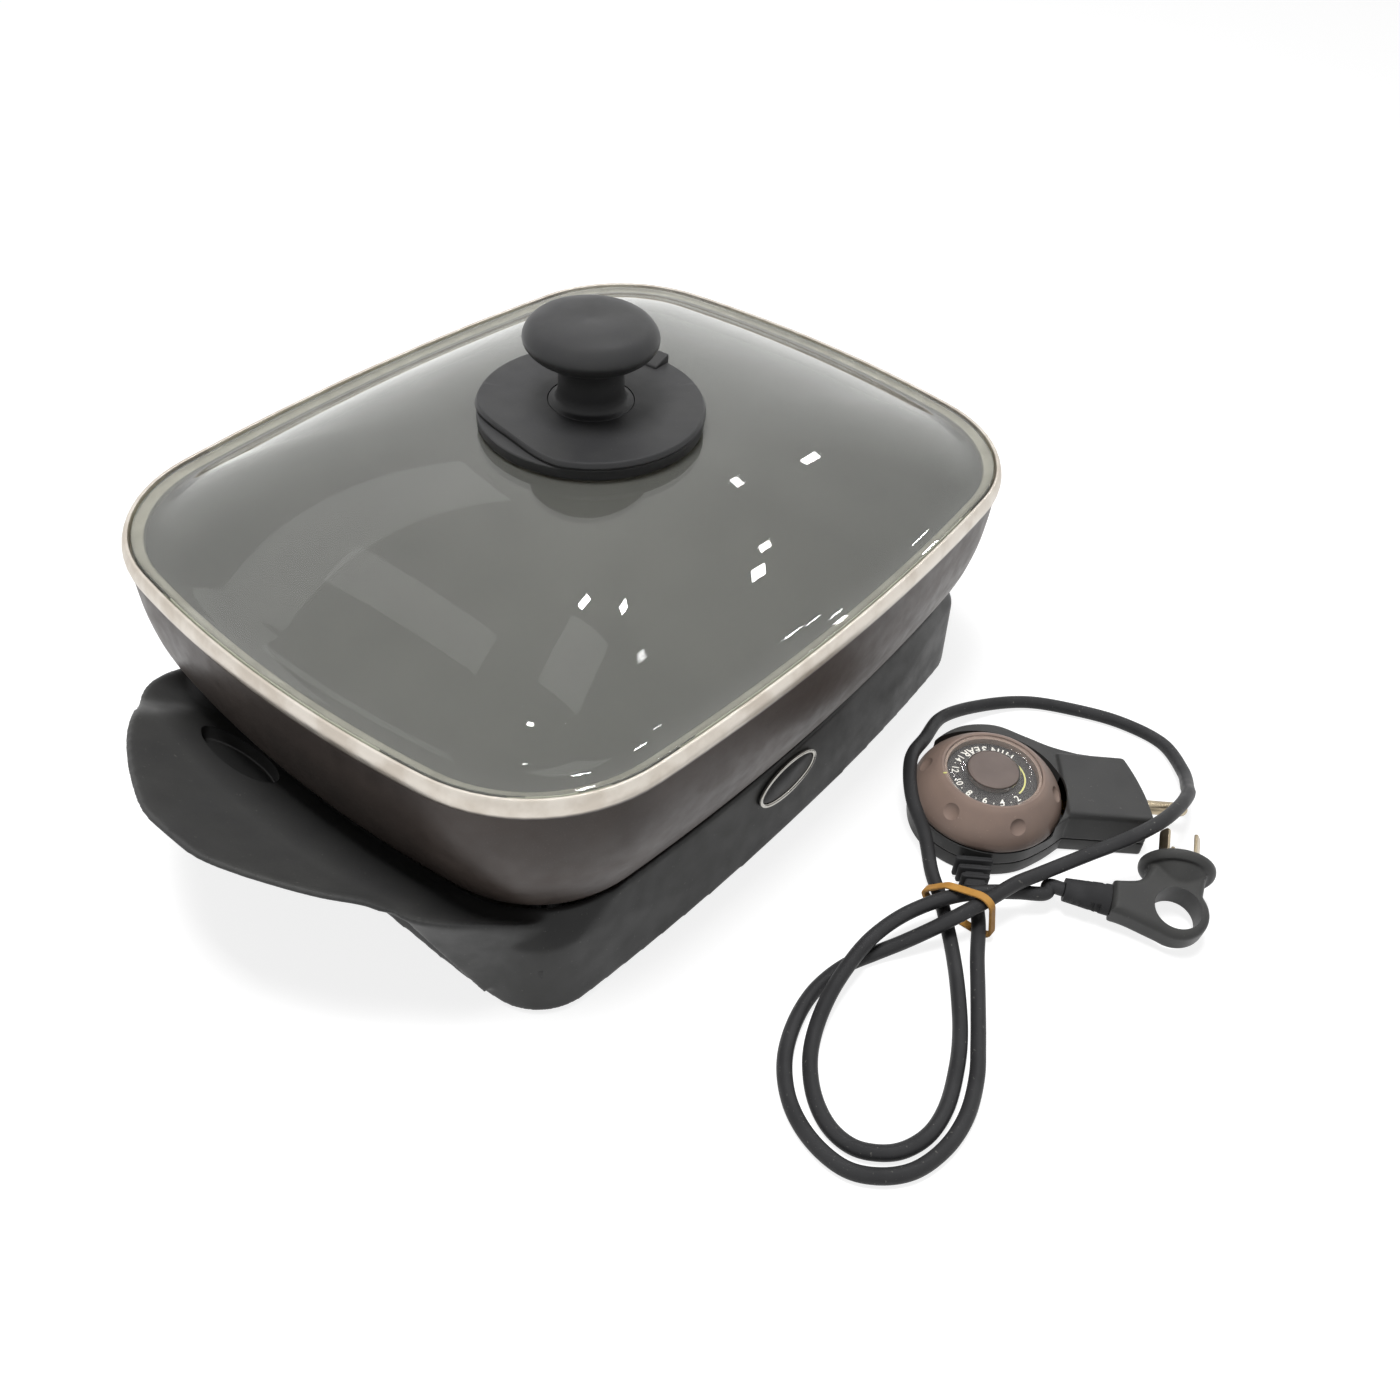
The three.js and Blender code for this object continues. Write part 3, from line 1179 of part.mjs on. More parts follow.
function plugPin(y, z, turn) {
  return box(bladePinLength, bladePinThickness, bladePinWidth, bladePinLength / 2 + gap, 0, 0)
    .rotateX(turn).translate(0, y, z);
}
add(plug, 'plug_pin_left', plugPin(bladePinSpread, earthPinDrop / 2, bladePinTurn), brightSteel, true);
add(plug, 'plug_pin_right', plugPin(-bladePinSpread, earthPinDrop / 2, -bladePinTurn), brightSteel, true);
add(plug, 'plug_pin_earth', plugPin(0, -earthPinDrop, 0), brightSteel, true);

function plugReliefGeometry() {
  const sides = 16;
  const from = neckLength + gap;
  const length = plugReliefLength;
  const rings = [];
  for (const [share, at] of [[1, 0], [0.96, 0.2], [0.84, 0.6], [0.72, 1]]) {
    const halfX = Math.max(neckHalfWidth * 0.95 * share, plugReliefTip);
    const halfZ = Math.max(handleHalfThickness * 0.92 * share, plugReliefTip * 0.98);
    rings.push(ovalOutline(halfX, halfZ, sides).map((p) =>
      new THREE.Vector3(p.x - fingerHoleSetback, from + length * at, p.y)));
  }
  const slots = [];
  for (let i = 0; i < plugReliefSlots; i += 1) {
    const y = from + (length * (i + 0.7)) / (plugReliefSlots + 0.6);
    for (const side of [-1, 1]) {
      const out = side * (i % 2 === 0 ? 1 : -1);
      slots.push(box(
        neckHalfWidth, bladePinThickness, 4 * handleHalfThickness,
        -fingerHoleSetback + out * (neckHalfWidth + cordDiameter / 4), y + (side > 0 ? 0 : length / 12), 0,
      ));
    }
  }
  return build(loft(rings), [], slots);
}
add(plug, 'plug_relief', plugReliefGeometry(), rubber, true);

// Mains lead, with its ends square to the two reliefs
skillet.updateMatrixWorld(true);
const leadStart = probe.localToWorld(new THREE.Vector3(glandOffset, reliefTo - gap, glandHeightAxis));
const leadStartNext = probe.localToWorld(new THREE.Vector3(glandOffset, reliefTo - gap - cordDiameter, glandHeightAxis - gap * 2));
const leadEnd = plug.localToWorld(new THREE.Vector3(-fingerHoleSetback, neckLength + plugReliefLength + 2 * gap, 0));
const leadEndNext = plug.localToWorld(new THREE.Vector3(-fingerHoleSetback, neckLength + plugReliefLength + 2 * gap + cordDiameter, 0));
const leadPoints = [
  leadStart, leadStartNext,
  ...cordRoute.map(([x, y, z]) => new THREE.Vector3(x, y, z)),
  leadEndNext, leadEnd,
];
add(skillet, 'power_cord', tubeAlong(leadPoints, cordDiameter / 2, cordSides, cordSteps), cordJacket, true);

// Tie: a flat band round the strands that cross one plane of the bundle
function bandOutline(extra) {
  const curve = new THREE.CatmullRomCurve3(leadPoints);
  const fine = curve.getSpacedPoints(900);
  const ringPoints = [];
  for (let i = 1; i < fine.length; i += 1) {
    const [a, b] = [fine[i - 1], fine[i]];
    const crosses = (a.x - tiePlaceX) * (b.x - tiePlaceX) <= 0 && a.x !== b.x;
    const share = (tiePlaceX - a.x) / (b.x - a.x);
    const at = a.clone().lerp(b, share);
    if (!crosses || Math.abs(at.y - tiePlaceY) > tieReach) continue;
    const run = b.clone().sub(a).divideScalar(Math.abs(b.x - a.x));
    const halfY = (cordDiameter / 2 + 3 * gap + extra) * Math.hypot(1, run.y) + (tieWidth / 2) * Math.abs(run.y);
    const halfZ = cordDiameter / 2 + 3 * gap + extra + (tieWidth / 2) * Math.abs(run.z);
    ringPoints.push(...ovalOutline(halfY, halfZ, 16).map((p) => new THREE.Vector2(at.y + p.x, at.z + p.y)));
  }
  return hullOutline(ringPoints);
}
function hullOutline(points) {
  const sorted = points.slice().sort((a, b) => a.x - b.x || a.y - b.y);
  const turn = (o, a, b) => (a.x - o.x) * (b.y - o.y) - (a.y - o.y) * (b.x - o.x);
  const chain = (list) => {
    const kept = [];
    for (const p of list) {
      while (kept.length > 1 && turn(kept[kept.length - 2], kept[kept.length - 1], p) <= 0) kept.pop();
      kept.push(p);
    }
    return kept.slice(0, -1);
  };
  return [...chain(sorted), ...chain(sorted.reverse())];
}
const acrossX = (outline, half) => prism(outline, tiePlaceX - half, tiePlaceX + half).applyMatrix4(
  new THREE.Matrix4().makeBasis(new THREE.Vector3(0, 1, 0), new THREE.Vector3(0, 0, 1), new THREE.Vector3(1, 0, 0)),
);
add(skillet, 'cord_tie', build(
  acrossX(bandOutline(tieThickness), tieWidth / 2), [], [acrossX(bandOutline(0), tieWidth)],
), tieRubber, true);

function leastSelfGap(points, diameter) {
  const fine = new THREE.CatmullRomCurve3(points).getSpacedPoints(700);
  const length = new THREE.CatmullRomCurve3(points).getLength();
  const step = length / 700;
  const apart = Math.ceil((diameter * Math.PI) / step);
  let least = Infinity;
  let at = [0, 0];
  for (let i = 0; i < fine.length; i += 1) {
    for (let j = i + apart; j < fine.length; j += 1) {
      const d = fine[i].distanceTo(fine[j]) - diameter;
      if (d < least) {
        least = d;
        at = [i, j];
      }
    }
  }
  return { least, length, place: at.map((i) => fine[i].toArray().map((v) => Math.round(v))) };
}
const selfGap = leastSelfGap(leadPoints, cordDiameter);
console.log('lead ends', leadStart.toArray().map((v) => v.toFixed(2)).join(' '), leadEnd.toArray().map((v) => v.toFixed(2)).join(' '));
console.log(`lead length ${selfGap.length.toFixed(0)} mm, least gap to itself ${selfGap.least.toFixed(2)} mm near ${selfGap.place.join(' and ')}`);

// Origin: middle of the footprint of everything but the lead and what is on it, on the table
const bounds = new THREE.Box3();
skillet.updateMatrixWorld(true);
skillet.traverse((item) => {
  if (item.isMesh && !cordPieces.includes(item)) bounds.expandByObject(item, true);
});
skillet.position.set(-(bounds.min.x + bounds.max.x) / 2, -(bounds.min.y + bounds.max.y) / 2, -bounds.min.z);

export default skillet;
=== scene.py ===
import bpy, bmesh
from math import sin, cos, pi, radians, atan2, hypot
from mathutils import Vector, Matrix


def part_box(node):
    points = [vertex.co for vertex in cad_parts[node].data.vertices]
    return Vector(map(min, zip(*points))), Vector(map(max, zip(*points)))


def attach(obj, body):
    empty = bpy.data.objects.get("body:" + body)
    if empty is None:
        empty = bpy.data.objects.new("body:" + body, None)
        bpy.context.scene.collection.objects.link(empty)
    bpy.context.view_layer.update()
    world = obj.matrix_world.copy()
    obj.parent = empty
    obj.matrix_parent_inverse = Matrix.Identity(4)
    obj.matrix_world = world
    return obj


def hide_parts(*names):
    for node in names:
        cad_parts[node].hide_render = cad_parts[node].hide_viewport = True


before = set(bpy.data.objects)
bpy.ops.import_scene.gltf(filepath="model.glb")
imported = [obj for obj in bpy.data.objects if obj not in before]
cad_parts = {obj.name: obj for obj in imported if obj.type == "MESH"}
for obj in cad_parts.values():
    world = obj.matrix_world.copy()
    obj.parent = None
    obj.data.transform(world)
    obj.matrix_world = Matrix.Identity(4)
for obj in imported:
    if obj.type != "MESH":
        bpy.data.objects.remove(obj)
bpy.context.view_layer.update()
print("frame loaded:", len(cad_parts), "nodes")

# places: millimetres from the pan's middle, table at 0
panLow, panHigh = (Vector(corner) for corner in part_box("pan_body"))
panMiddle = Vector(((panLow.x + panHigh.x) / 2, (panLow.y + panHigh.y) / 2, 0))
atPan = Matrix.Translation(panMiddle) @ Matrix.Scale(0.001, 4)


def spot(x, y, z=0.0):
    return atPan @ Vector((x, y, z))


# camera, fitted to the rim, the base and the lead on the table
camera = {
    "azimuth": -53.92, "elevation": 43.02, "roll": 4.69, "place": (-403.7, -372.0, 510.4),
    "lens": 33.61, "sensor": 36, "near": 0.02,
}


def addObject(name, data):
    made = bpy.data.objects.new(name, data)
    bpy.context.collection.objects.link(made)
    return made


def makeCamera(use):
    turn, rise, roll = (radians(use[key]) for key in ("azimuth", "elevation", "roll"))
    back = Vector((sin(turn) * cos(rise), -cos(turn) * cos(rise), sin(rise)))
    right = Vector((0, 0, 1)).cross(back).normalized()
    up = back.cross(right)
    rolledRight = right * cos(roll) + up * sin(roll)
    rolledUp = up * cos(roll) - right * sin(roll)
    data = bpy.data.cameras.new("photoCamera")
    data.lens, data.sensor_width, data.clip_start = use["lens"], use["sensor"], use["near"]
    eye = addObject("photoCamera", data)
    axes = Matrix((rolledRight, rolledUp, back)).transposed().to_4x4()
    eye.matrix_world = Matrix.Translation(spot(*use["place"])) @ axes
    bpy.context.scene.camera = eye


makeCamera(camera)


# lines and outlines
quadrants = ((1, 1), (-1, 1), (-1, -1), (1, -1))


def throughPoints(points, steps):
    points = [Vector(p) for p in points]
    known = [points[0] * 2 - points[1]] + points + [points[-1] * 2 - points[-2]]
    line = []
    for i in range(steps + 1):
        along = i * (len(points) - 1) / steps
        cell = min(int(along), len(points) - 2)
        t = along - cell
        a, b, c, d = known[cell:cell + 4]
        gapA, gapB, gapC = (max((q - p).length ** 0.5, 1e-4) for p, q in ((a, b), (b, c), (c, d)))
        leave = ((b - a) / gapA - (c - a) / (gapA + gapB) + (c - b) / gapB) * gapB
        reach = ((c - b) / gapB - (d - b) / (gapB + gapC) + (d - c) / gapC) * gapB
        bend = c * 3 - b * 3 - leave * 2 - reach
        line.append(b + leave * t + bend * t * t + (b * 2 - c * 2 + leave + reach) * t ** 3)
    return line


def ease(low, high, value):
    t = min(1, max(0, (value - low) / (high - low)))
    return t * t * (3 - 2 * t)


def blendOf(a, b, share):
    return a + (b - a) * share


def bowedOutline(form, inset=0.0, sideSteps=14, cornerSteps=14):
    # rounded rectangle whose sides bow outwards, drawn in by the inset
    radius = max(form["corner"] - inset, form["corner"] * 0.2)
    bowX, bowY = form["bowShort"], form["bowLong"]
    halfX = form["halfLong"] - inset - radius - bowX
    halfY = form["halfWide"] - inset - radius - bowY
    quarter = []

    def put(x, y, nx, ny):
        size = hypot(nx, ny)
        quarter.append((x + radius * nx / size, y + radius * ny / size))

    for i in range(sideSteps):
        t = (i + 0.5) / sideSteps
        put(halfX + bowX * (1 - t * t), halfY * t, 1, 2 * bowX * t / halfY)
    first, last = atan2(2 * bowX, halfY), atan2(halfX, 2 * bowY)
    for i in range(cornerSteps + 1):
        angle = first + (last - first) * i / cornerSteps
        put(halfX, halfY, cos(angle), sin(angle))
    for i in reversed(range(sideSteps)):
        t = (i + 0.5) / sideSteps
        put(halfX * t, halfY + bowY * (1 - t * t), 2 * bowY * t / halfX, 1)
    left = [(-x, y) for x, y in reversed(quarter)]
    under = [(-x, -y) for x, y in quarter]
    return quarter + left + under + [(x, -y) for x, y in reversed(quarter)]


def unitCircle(count):
    return [(cos(2 * pi * i / count), sin(2 * pi * i / count)) for i in range(count)]


def circle(radius, count=64, x=0.0, y=0.0, wide=1.0):
    return [(x + radius * c, y + radius * wide * s) for c, s in unitCircle(count)]


def rounded(corners, radius, closed=True, steps=4):
    # an outline with each corner softened; a third number in a corner is its own radius
    points = []
    count = len(corners)
    for i, corner in enumerate(corners):
        here = Vector(corner[:2])
        soft = corner[2] if len(corner) > 2 else radius
        if (not closed and i in (0, count - 1)) or soft == 0:
            points.append(here)
            continue
        before, after = Vector(corners[i - 1][:2]), Vector(corners[(i + 1) % count][:2])
        cut = min(soft, (before - here).length * 0.48, (after - here).length * 0.48)
        start = here + (before - here).normalized() * cut
        end = here + (after - here).normalized() * cut
        for k in range(steps + 1):
            t = k / steps
            points.append(start * (1 - t) ** 2 + here * 2 * t * (1 - t) + end * t * t)
    return [tuple(p) for p in points]


def ringSection(inner, outer, low, high, soft=0.5):
    return rounded([(inner, low), (outer, low), (outer, high), (inner, high)], soft)


def drawnIn(outline, inset):
    # the outline moved inwards by its own normals
    ahead, behind = outline[1:] + outline[:1], outline[-1:] + outline[:-1]
    area = sum(a[0] * b[1] - b[0] * a[1] for a, b in zip(outline, ahead))
    side = 1 if area > 0 else -1
    drawn = []
    for before, (x, y), after in zip(behind, outline, ahead):
        run = (Vector(after) - Vector(before)).normalized() * side
        drawn.append((x - run.y * inset, y + run.x * inset))
    return drawn


# mesh makers: each gives points and faces in millimetres
def level(outline, z):
    return [Vector((x, y, z)) for x, y in outline]


def loft(rings, closed=False, capped=True):
    count = len(rings[0])
    points = [Vector(p) for ring in rings for p in ring]
    faces = []
    for r in range(len(rings) if closed else len(rings) - 1):
        near, far = r * count, (r + 1) % len(rings) * count
        faces += [(near + i, near + (i + 1) % count, far + (i + 1) % count, far + i) for i in range(count)]
    if capped and not closed:
        faces.append(tuple(reversed(range(count))))
        faces.append(tuple(range((len(rings) - 1) * count, len(rings) * count)))
    return points, faces


def lathe(profile, segments=96, closed=True):
    rings = [[Vector((r * c, r * s, z)) for c, s in unitCircle(segments)] for r, z in profile]
    return loft(rings, closed, False)


def softPrism(outline, low, high, edge, steps=4, edgeHigh=None):
    # a plate with rounded edges
    edgeHigh = edge if edgeHigh is None else edgeHigh
    turns = [(sin(i / steps * pi / 2), cos(i / steps * pi / 2)) for i in range(steps + 1)]
    rings = [level(drawnIn(outline, edge * (1 - s)), low + edge * (1 - c)) for s, c in turns]
    rings += [level(drawnIn(outline, edgeHigh * (1 - c)), high - edgeHigh * (1 - s)) for s, c in turns]
    return loft(rings)


def moved(part, matrix):
    return [matrix @ p for p in part[0]], part[1]


def block(size, middle, soft=0.4):
    x, y, z = (side / 2 for side in size)
    outline = rounded([(x, -y), (x, y), (-x, y), (-x, -y)], soft * 2, steps=3)
    return moved(softPrism(outline, -z, z, min(soft, z / 1.1), 2), Matrix.Translation(middle))


def meshObject(name, parts, place):
    shell = bmesh.new()
    for points, faces in parts:
        made = [shell.verts.new(place @ p) for p in points]
        for face in faces:
            shell.faces.new([made[i] for i in face])
    bmesh.ops.remove_doubles(shell, verts=shell.verts, dist=2e-6)
    bmesh.ops.recalc_face_normals(shell, faces=shell.faces)
    mesh = bpy.data.meshes.new(name)
    shell.to_mesh(mesh)
    shell.free()
    return addObject(name, mesh)


def turnedPiece(name, section, soft, place, segments=96, closed=True):
    return meshObject(name, [lathe(rounded(section, soft, closed), segments, closed)], place)


def addParts(piece, parts, place):
    extra = meshObject("extra", parts, place)
    shell = bmesh.new()
    shell.from_mesh(piece.data)
    shell.from_mesh(extra.data)
    shell.to_mesh(piece.data)
    shell.free()
    bpy.data.objects.remove(extra)


def applied(piece, kind, **settings):
    step = piece.modifiers.new(kind.lower(), kind)
    for key, value in settings.items():
        setattr(step, key, value)
    bpy.ops.object.select_all(action="DESELECT")
    bpy.context.view_layer.objects.active = piece
    bpy.ops.object.modifier_apply(modifier=step.name)


fineVoxel = 0.0006


def smoothed(piece, voxel, times):
    applied(piece, "REMESH", mode="VOXEL", voxel_size=voxel)
    applied(piece, "SMOOTH", factor=0.5, iterations=times)


def cutAway(piece, parts, place):
    tool = meshObject("cutter", parts, place)
    applied(piece, "BOOLEAN", object=tool, operation="DIFFERENCE", solver="EXACT")
    bpy.data.objects.remove(tool)


def dressed(piece, look, body, instead=None, angle=40):
    piece.data.materials.clear()
    for name in [look] if isinstance(look, str) else look:
        piece.data.materials.append(finishOf[name])
    piece.data.shade_smooth()
    piece.data.set_sharp_from_angle(angle=radians(angle))
    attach(piece, body)
    if instead:
        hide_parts(instead)
    return piece


# finishes
def tone(*seen):
    # a colour as it is seen, 0 to 255
    return tuple(((v / 255 + 0.055) / 1.055) ** 2.4 if v > 10 else v / 255 / 12.92 for v in seen) + (1,)


def addNode(finish, kind, **inputs):
    node = finish.node_tree.nodes.new("ShaderNode" + kind)
    for name, value in inputs.items():
        node.inputs[name].default_value = value
    return node


def join(finish, out, into):
    finish.node_tree.links.new(out, into)


def noiseOf(finish, size, detail=3, stretch=(1, 1, 1)):
    # size in millimetres
    place = addNode(finish, "TexCoord").outputs["Object"]
    if stretch != (1, 1, 1):
        spread = addNode(finish, "Mapping", Scale=stretch)
        join(finish, place, spread.inputs["Vector"])
        place = spread.outputs["Vector"]
    noise = addNode(finish, "TexNoise", Scale=1000 / size, Detail=detail)
    join(finish, place, noise.inputs["Vector"])
    return noise.outputs["Fac"]


def ramped(finish, value, low, high, to=(0, 1)):
    ramp = addNode(finish, "MapRange")
    for i, number in zip((1, 2, 3, 4), (low, high, *to)):
        ramp.inputs[i].default_value = number
    ramp.clamp = True
    join(finish, value, ramp.inputs[0])
    return ramp.outputs[0]


def colourMix(finish, share, first, second):
    mix = finish.node_tree.nodes.new("ShaderNodeMix")
    mix.data_type = "RGBA"
    join(finish, share, mix.inputs[0])
    for value, socket in ((first, mix.inputs[6]), (second, mix.inputs[7])):
        if isinstance(value, tuple):
            socket.default_value = value
        else:
            join(finish, value, socket)
    return mix.outputs[2]


def startFinish(name):
    finish = bpy.data.materials.new(name)
    finish.use_nodes = True
    return finish, finish.node_tree.nodes["Principled BSDF"]


def roughen(finish, shader, size, detail, rough, stretch=(1, 1, 1)):
    uneven = ramped(finish, noiseOf(finish, size, detail, stretch), 0.3, 0.7, rough)
    join(finish, uneven, shader.inputs["Roughness"])


def bumpy(finish, shader, size, deep, strength, stretch=(1, 1, 1)):
    # size and depth in millimetres
    grain = addNode(finish, "Bump", Strength=strength, Distance=deep / 1000)
    join(finish, noiseOf(finish, size, 2, stretch), grain.inputs["Height"])
    join(finish, grain.outputs[0], shader.inputs["Normal"])


def newFinish(name, look):
    finish, shader = startFinish(name)
    stretch = look.get("stretch", (1, 1, 1))
    patches = ramped(finish, noiseOf(finish, look["patchSize"], 4, stretch), 0.35, 0.65)
    colour = colourMix(finish, patches, tone(*look["colour"]), tone(*look["patch"]))
    if "speck" in look:
        shade, size, start, share = look["speck"]
        specks = ramped(finish, noiseOf(finish, size, 2, stretch), start, 0.78, (0, share))
        colour = colourMix(finish, specks, colour, tone(*shade))
    if "worn" in look:
        shade, share = look["worn"]
        bends = addNode(finish, "NewGeometry").outputs["Pointiness"]
        colour = colourMix(finish, ramped(finish, bends, 0.53, 0.62, (0, share)), colour, tone(*shade))
    join(finish, colour, shader.inputs["Base Color"])
    roughen(finish, shader, 12, 3, look["rough"], stretch)
    shader.inputs["Metallic"].default_value = look.get("metallic", 0)
    shader.inputs["Specular IOR Level"].default_value = look.get("specular", 0.5)
    bumpy(finish, shader, *look["grain"], 0.6, stretch)
    return finish


# grain: size and depth; speck: colour, size, where it starts and its share; worn: colour and share
looks = {
    "satinBlack": dict(colour=(56, 56, 56), patch=(62, 62, 61), patchSize=45, rough=(0.36, 0.5), specular=0.3,
                       grain=(0.45, 0.03), speck=((120, 118, 114), 1.6, 0.7, 0.35), worn=((70, 70, 72), 0.5)),
    "knobBlack": dict(colour=(45, 45, 46), patch=(50, 50, 50), patchSize=25, rough=(0.38, 0.5), specular=0.3,
                      grain=(0.3, 0.012), speck=((110, 108, 106), 1.2, 0.72, 0.3), worn=((80, 79, 80), 0.4)),
    "dialTaupe": dict(colour=(131, 113, 103), patch=(122, 105, 97), patchSize=20, rough=(0.42, 0.55),
                      grain=(0.35, 0.015), speck=((176, 160, 150), 1.4, 0.7, 0.3),
                      worn=((170, 152, 142), 0.5)),
    "scaleDark": dict(colour=(44, 42, 44), patch=(50, 48, 50), patchSize=12, rough=(0.4, 0.55),
                      grain=(2, 0.003)),
    "capTaupe": dict(colour=(104, 92, 87), patch=(98, 87, 82), patchSize=12, rough=(0.4, 0.5),
                     grain=(0.25, 0.01)),
    "leadJacket": dict(colour=(44, 44, 45), patch=(52, 52, 53), patchSize=22, rough=(0.42, 0.58), specular=0.25,
                       grain=(0.5, 0.03), speck=((140, 138, 132), 1.8, 0.68, 0.4)),
    "reliefRubber": dict(colour=(46, 46, 47), patch=(52, 52, 53), patchSize=10, rough=(0.6, 0.75),
                         specular=0.25, grain=(0.3, 0.02)),
    "bandRubber": dict(colour=(185, 138, 69), patch=(172, 124, 60), patchSize=5, rough=(0.55, 0.7),
                       grain=(0.4, 0.03)),
    "sealSilicone": dict(colour=(150, 148, 144), patch=(142, 140, 136), patchSize=15, rough=(0.6, 0.7),
                         grain=(0.5, 0.02)),
    "platedSteel": dict(colour=(196, 194, 188), patch=(180, 177, 170), patchSize=8, rough=(0.18, 0.3),
                        metallic=1, grain=(0.5, 0.006)),
    "rodSteel": dict(colour=(190, 177, 152), patch=(168, 154, 130), patchSize=7, rough=(0.28, 0.42),
                     metallic=1, grain=(0.4, 0.01)),
    "plateSteel": dict(colour=(150, 148, 143), patch=(136, 134, 129), patchSize=25, rough=(0.4, 0.55),
                       metallic=0.9, grain=(0.7, 0.02), stretch=(1, 12, 1)),
    "contactBrass": dict(colour=(196, 166, 92), patch=(176, 146, 78), patchSize=6, rough=(0.3, 0.42),
                         metallic=1, grain=(0.4, 0.008)),
    "paleCeramic": dict(colour=(214, 208, 196), patch=(204, 197, 184), patchSize=10, rough=(0.5, 0.65),
                        grain=(0.4, 0.02)),
    "amberLens": dict(colour=(206, 112, 40), patch=(190, 98, 34), patchSize=6, rough=(0.15, 0.25),
                      grain=(0.5, 0.005)),
    "innerCoat": dict(colour=(70, 65, 59), patch=(78, 73, 67), patchSize=60, rough=(0.4, 0.5), specular=0.3,
                      grain=(4, 0.006), speck=((110, 104, 98), 3, 0.7, 0.1)),
    "printWhite": dict(colour=(236, 235, 230), patch=(222, 220, 214), patchSize=3, rough=(0.5, 0.6),
                       grain=(0.2, 0.004)),
    "printYellow": dict(colour=(206, 204, 130), patch=(190, 188, 118), patchSize=3, rough=(0.5, 0.6),
                        grain=(0.2, 0.004)),
}
finishOf = {name: newFinish(name, look) for name, look in looks.items()}

# the pan's coat: brown outside, a bare metal lip with a soft lower edge
panLook = {
    "brown": tone(74, 65, 61), "warm": tone(84, 74, 69), "speck": tone(130, 118, 108),
    "bare": tone(222, 215, 205), "bareWorn": tone(204, 195, 183), "lipFrom": 136, "lipTo": 138,
    "rough": (0.34, 0.46), "specular": 0.3,
}


def panFinish(look):
    finish, shader = startFinish("brownCoat")
    split = addNode(finish, "SeparateXYZ")
    join(finish, addNode(finish, "TexCoord").outputs["Object"], split.inputs[0])
    lip = ramped(finish, split.outputs["Z"], look["lipFrom"] / 1000, look["lipTo"] / 1000)
    brown = colourMix(finish, ramped(finish, noiseOf(finish, 40, 4), 0.35, 0.65), look["brown"], look["warm"])
    specks = ramped(finish, noiseOf(finish, 0.7, 2), 0.62, 0.8, (0, 0.25))
    brown = colourMix(finish, specks, brown, look["speck"])
    bare = colourMix(finish, ramped(finish, noiseOf(finish, 14, 4), 0.4, 0.62), look["bare"], look["bareWorn"])
    join(finish, colourMix(finish, lip, brown, bare), shader.inputs["Base Color"])
    join(finish, ramped(finish, lip, 0, 1, (0.1, 0.85)), shader.inputs["Metallic"])
    shader.inputs["Specular IOR Level"].default_value = look["specular"]
    roughen(finish, shader, 9, 3, look["rough"])
    bumpy(finish, shader, 0.6, 0.03, 0.5)
    return finish


finishOf["brownCoat"] = panFinish(panLook)

# clear pieces: the lid's tempered glass, its greener edge and the dial's window
glassLooks = {
    "lidGlass": {"colour": tone(236, 238, 231), "haze": 0.06, "rough": (0.01, 0.04), "ior": 1.5},
    "lidGlassEdge": {"colour": tone(212, 215, 196), "haze": 0.55, "rough": (0.05, 0.12), "ior": 1.5},
    "windowClear": {"colour": tone(246, 245, 242), "haze": 0.02, "rough": (0.05, 0.08), "ior": 1.15},
}


def clearFinish(name, look):
    finish, shader = startFinish(name)
    dusty = tuple(part * 0.94 for part in look["colour"][:3]) + (1,)
    dust = ramped(finish, noiseOf(finish, 35, 5), 0.35, 0.7)
    join(finish, colourMix(finish, dust, look["colour"], dusty), shader.inputs["Base Color"])
    roughen(finish, shader, 20, 4, look["rough"])
    shader.inputs["Transmission Weight"].default_value = 1 - look["haze"]
    shader.inputs["IOR"].default_value = look["ior"]
    bumpy(finish, shader, 45, 0.2, 0.15)
    return finish


for name, look in glassLooks.items():
    finishOf[name] = clearFinish(name, look)
print("finishes made:", len(finishOf))

# studio: a pale floor, a soft lamp overhead, and a few small lamps that the lid mirrors
studio = {
    "floorHalf": 4.0, "floorTone": (0.36, 0.36, 0.36, 1), "floorPatch": (0.34, 0.34, 0.34, 1),
    "floorLift": 0.83, "ambient": 0.14,
    "soft": {"place": (-170, 0, 1450), "aim": (0, 0, 60), "size": 0.5, "power": 25.0},
    # what the dome mirrors: both ends, width and power; lamps wider than 100 fade outwards
    "mirrored": [
        ((537, -89, 1307), (537, -29, 1307), 50, 2.8), ((344, 185, 1298), (344, 225, 1298), 60, 3.2),
        ((-152, 16, 1445), (-172, 56, 1445), 12, 0.48), ((818, -439, 1113), (818, -379, 1113), 40, 1.4),
        ((863, -320, 1113), (863, -280, 1113), 30, 0.8), ((910, 150, 1065), (930, 230, 1065), 22, 0.6),
        ((1064, 33, 980), (1064, 83, 980), 34, 1.0), ((640, -470, 1424), (640, -410, 1424), 18, 0.24),
        ((-473, 1113, 1145), (635, 919, 1129), 200, 1.6), ((-127, 1039, 1258), (-131, 589, 1507), 220, 0.9),
        ((51, -25, 1642), (380, 60, 1500), 420, 1.6)],
    "domeMiddle": (-60, -40, 170), "fades": (1, 0.8, 0.6, 0.4),
}


def seenRays(tree):
    # 1 for what is seen, also mirrored or through glass
    paths = tree.nodes.new("ShaderNodeLightPath")
    seen = paths.outputs["Is Camera Ray"]
    for kind in ("Is Glossy Ray", "Is Transmission Ray"):
        either = tree.nodes.new("ShaderNodeMath")
        either.operation = "MAXIMUM"
        tree.links.new(seen, either.inputs[0])
        tree.links.new(paths.outputs[kind], either.inputs[1])
        seen = either.outputs[0]
    return seen


def addLamp(name, shape, power, size, sizeY=0.1):
    data = bpy.data.lights.new(name, "AREA")
    data.shape, data.size, data.size_y, data.energy = shape, size, sizeY, power
    lamp = addObject(name, data)
    lamp.visible_transmission = False
    return lamp


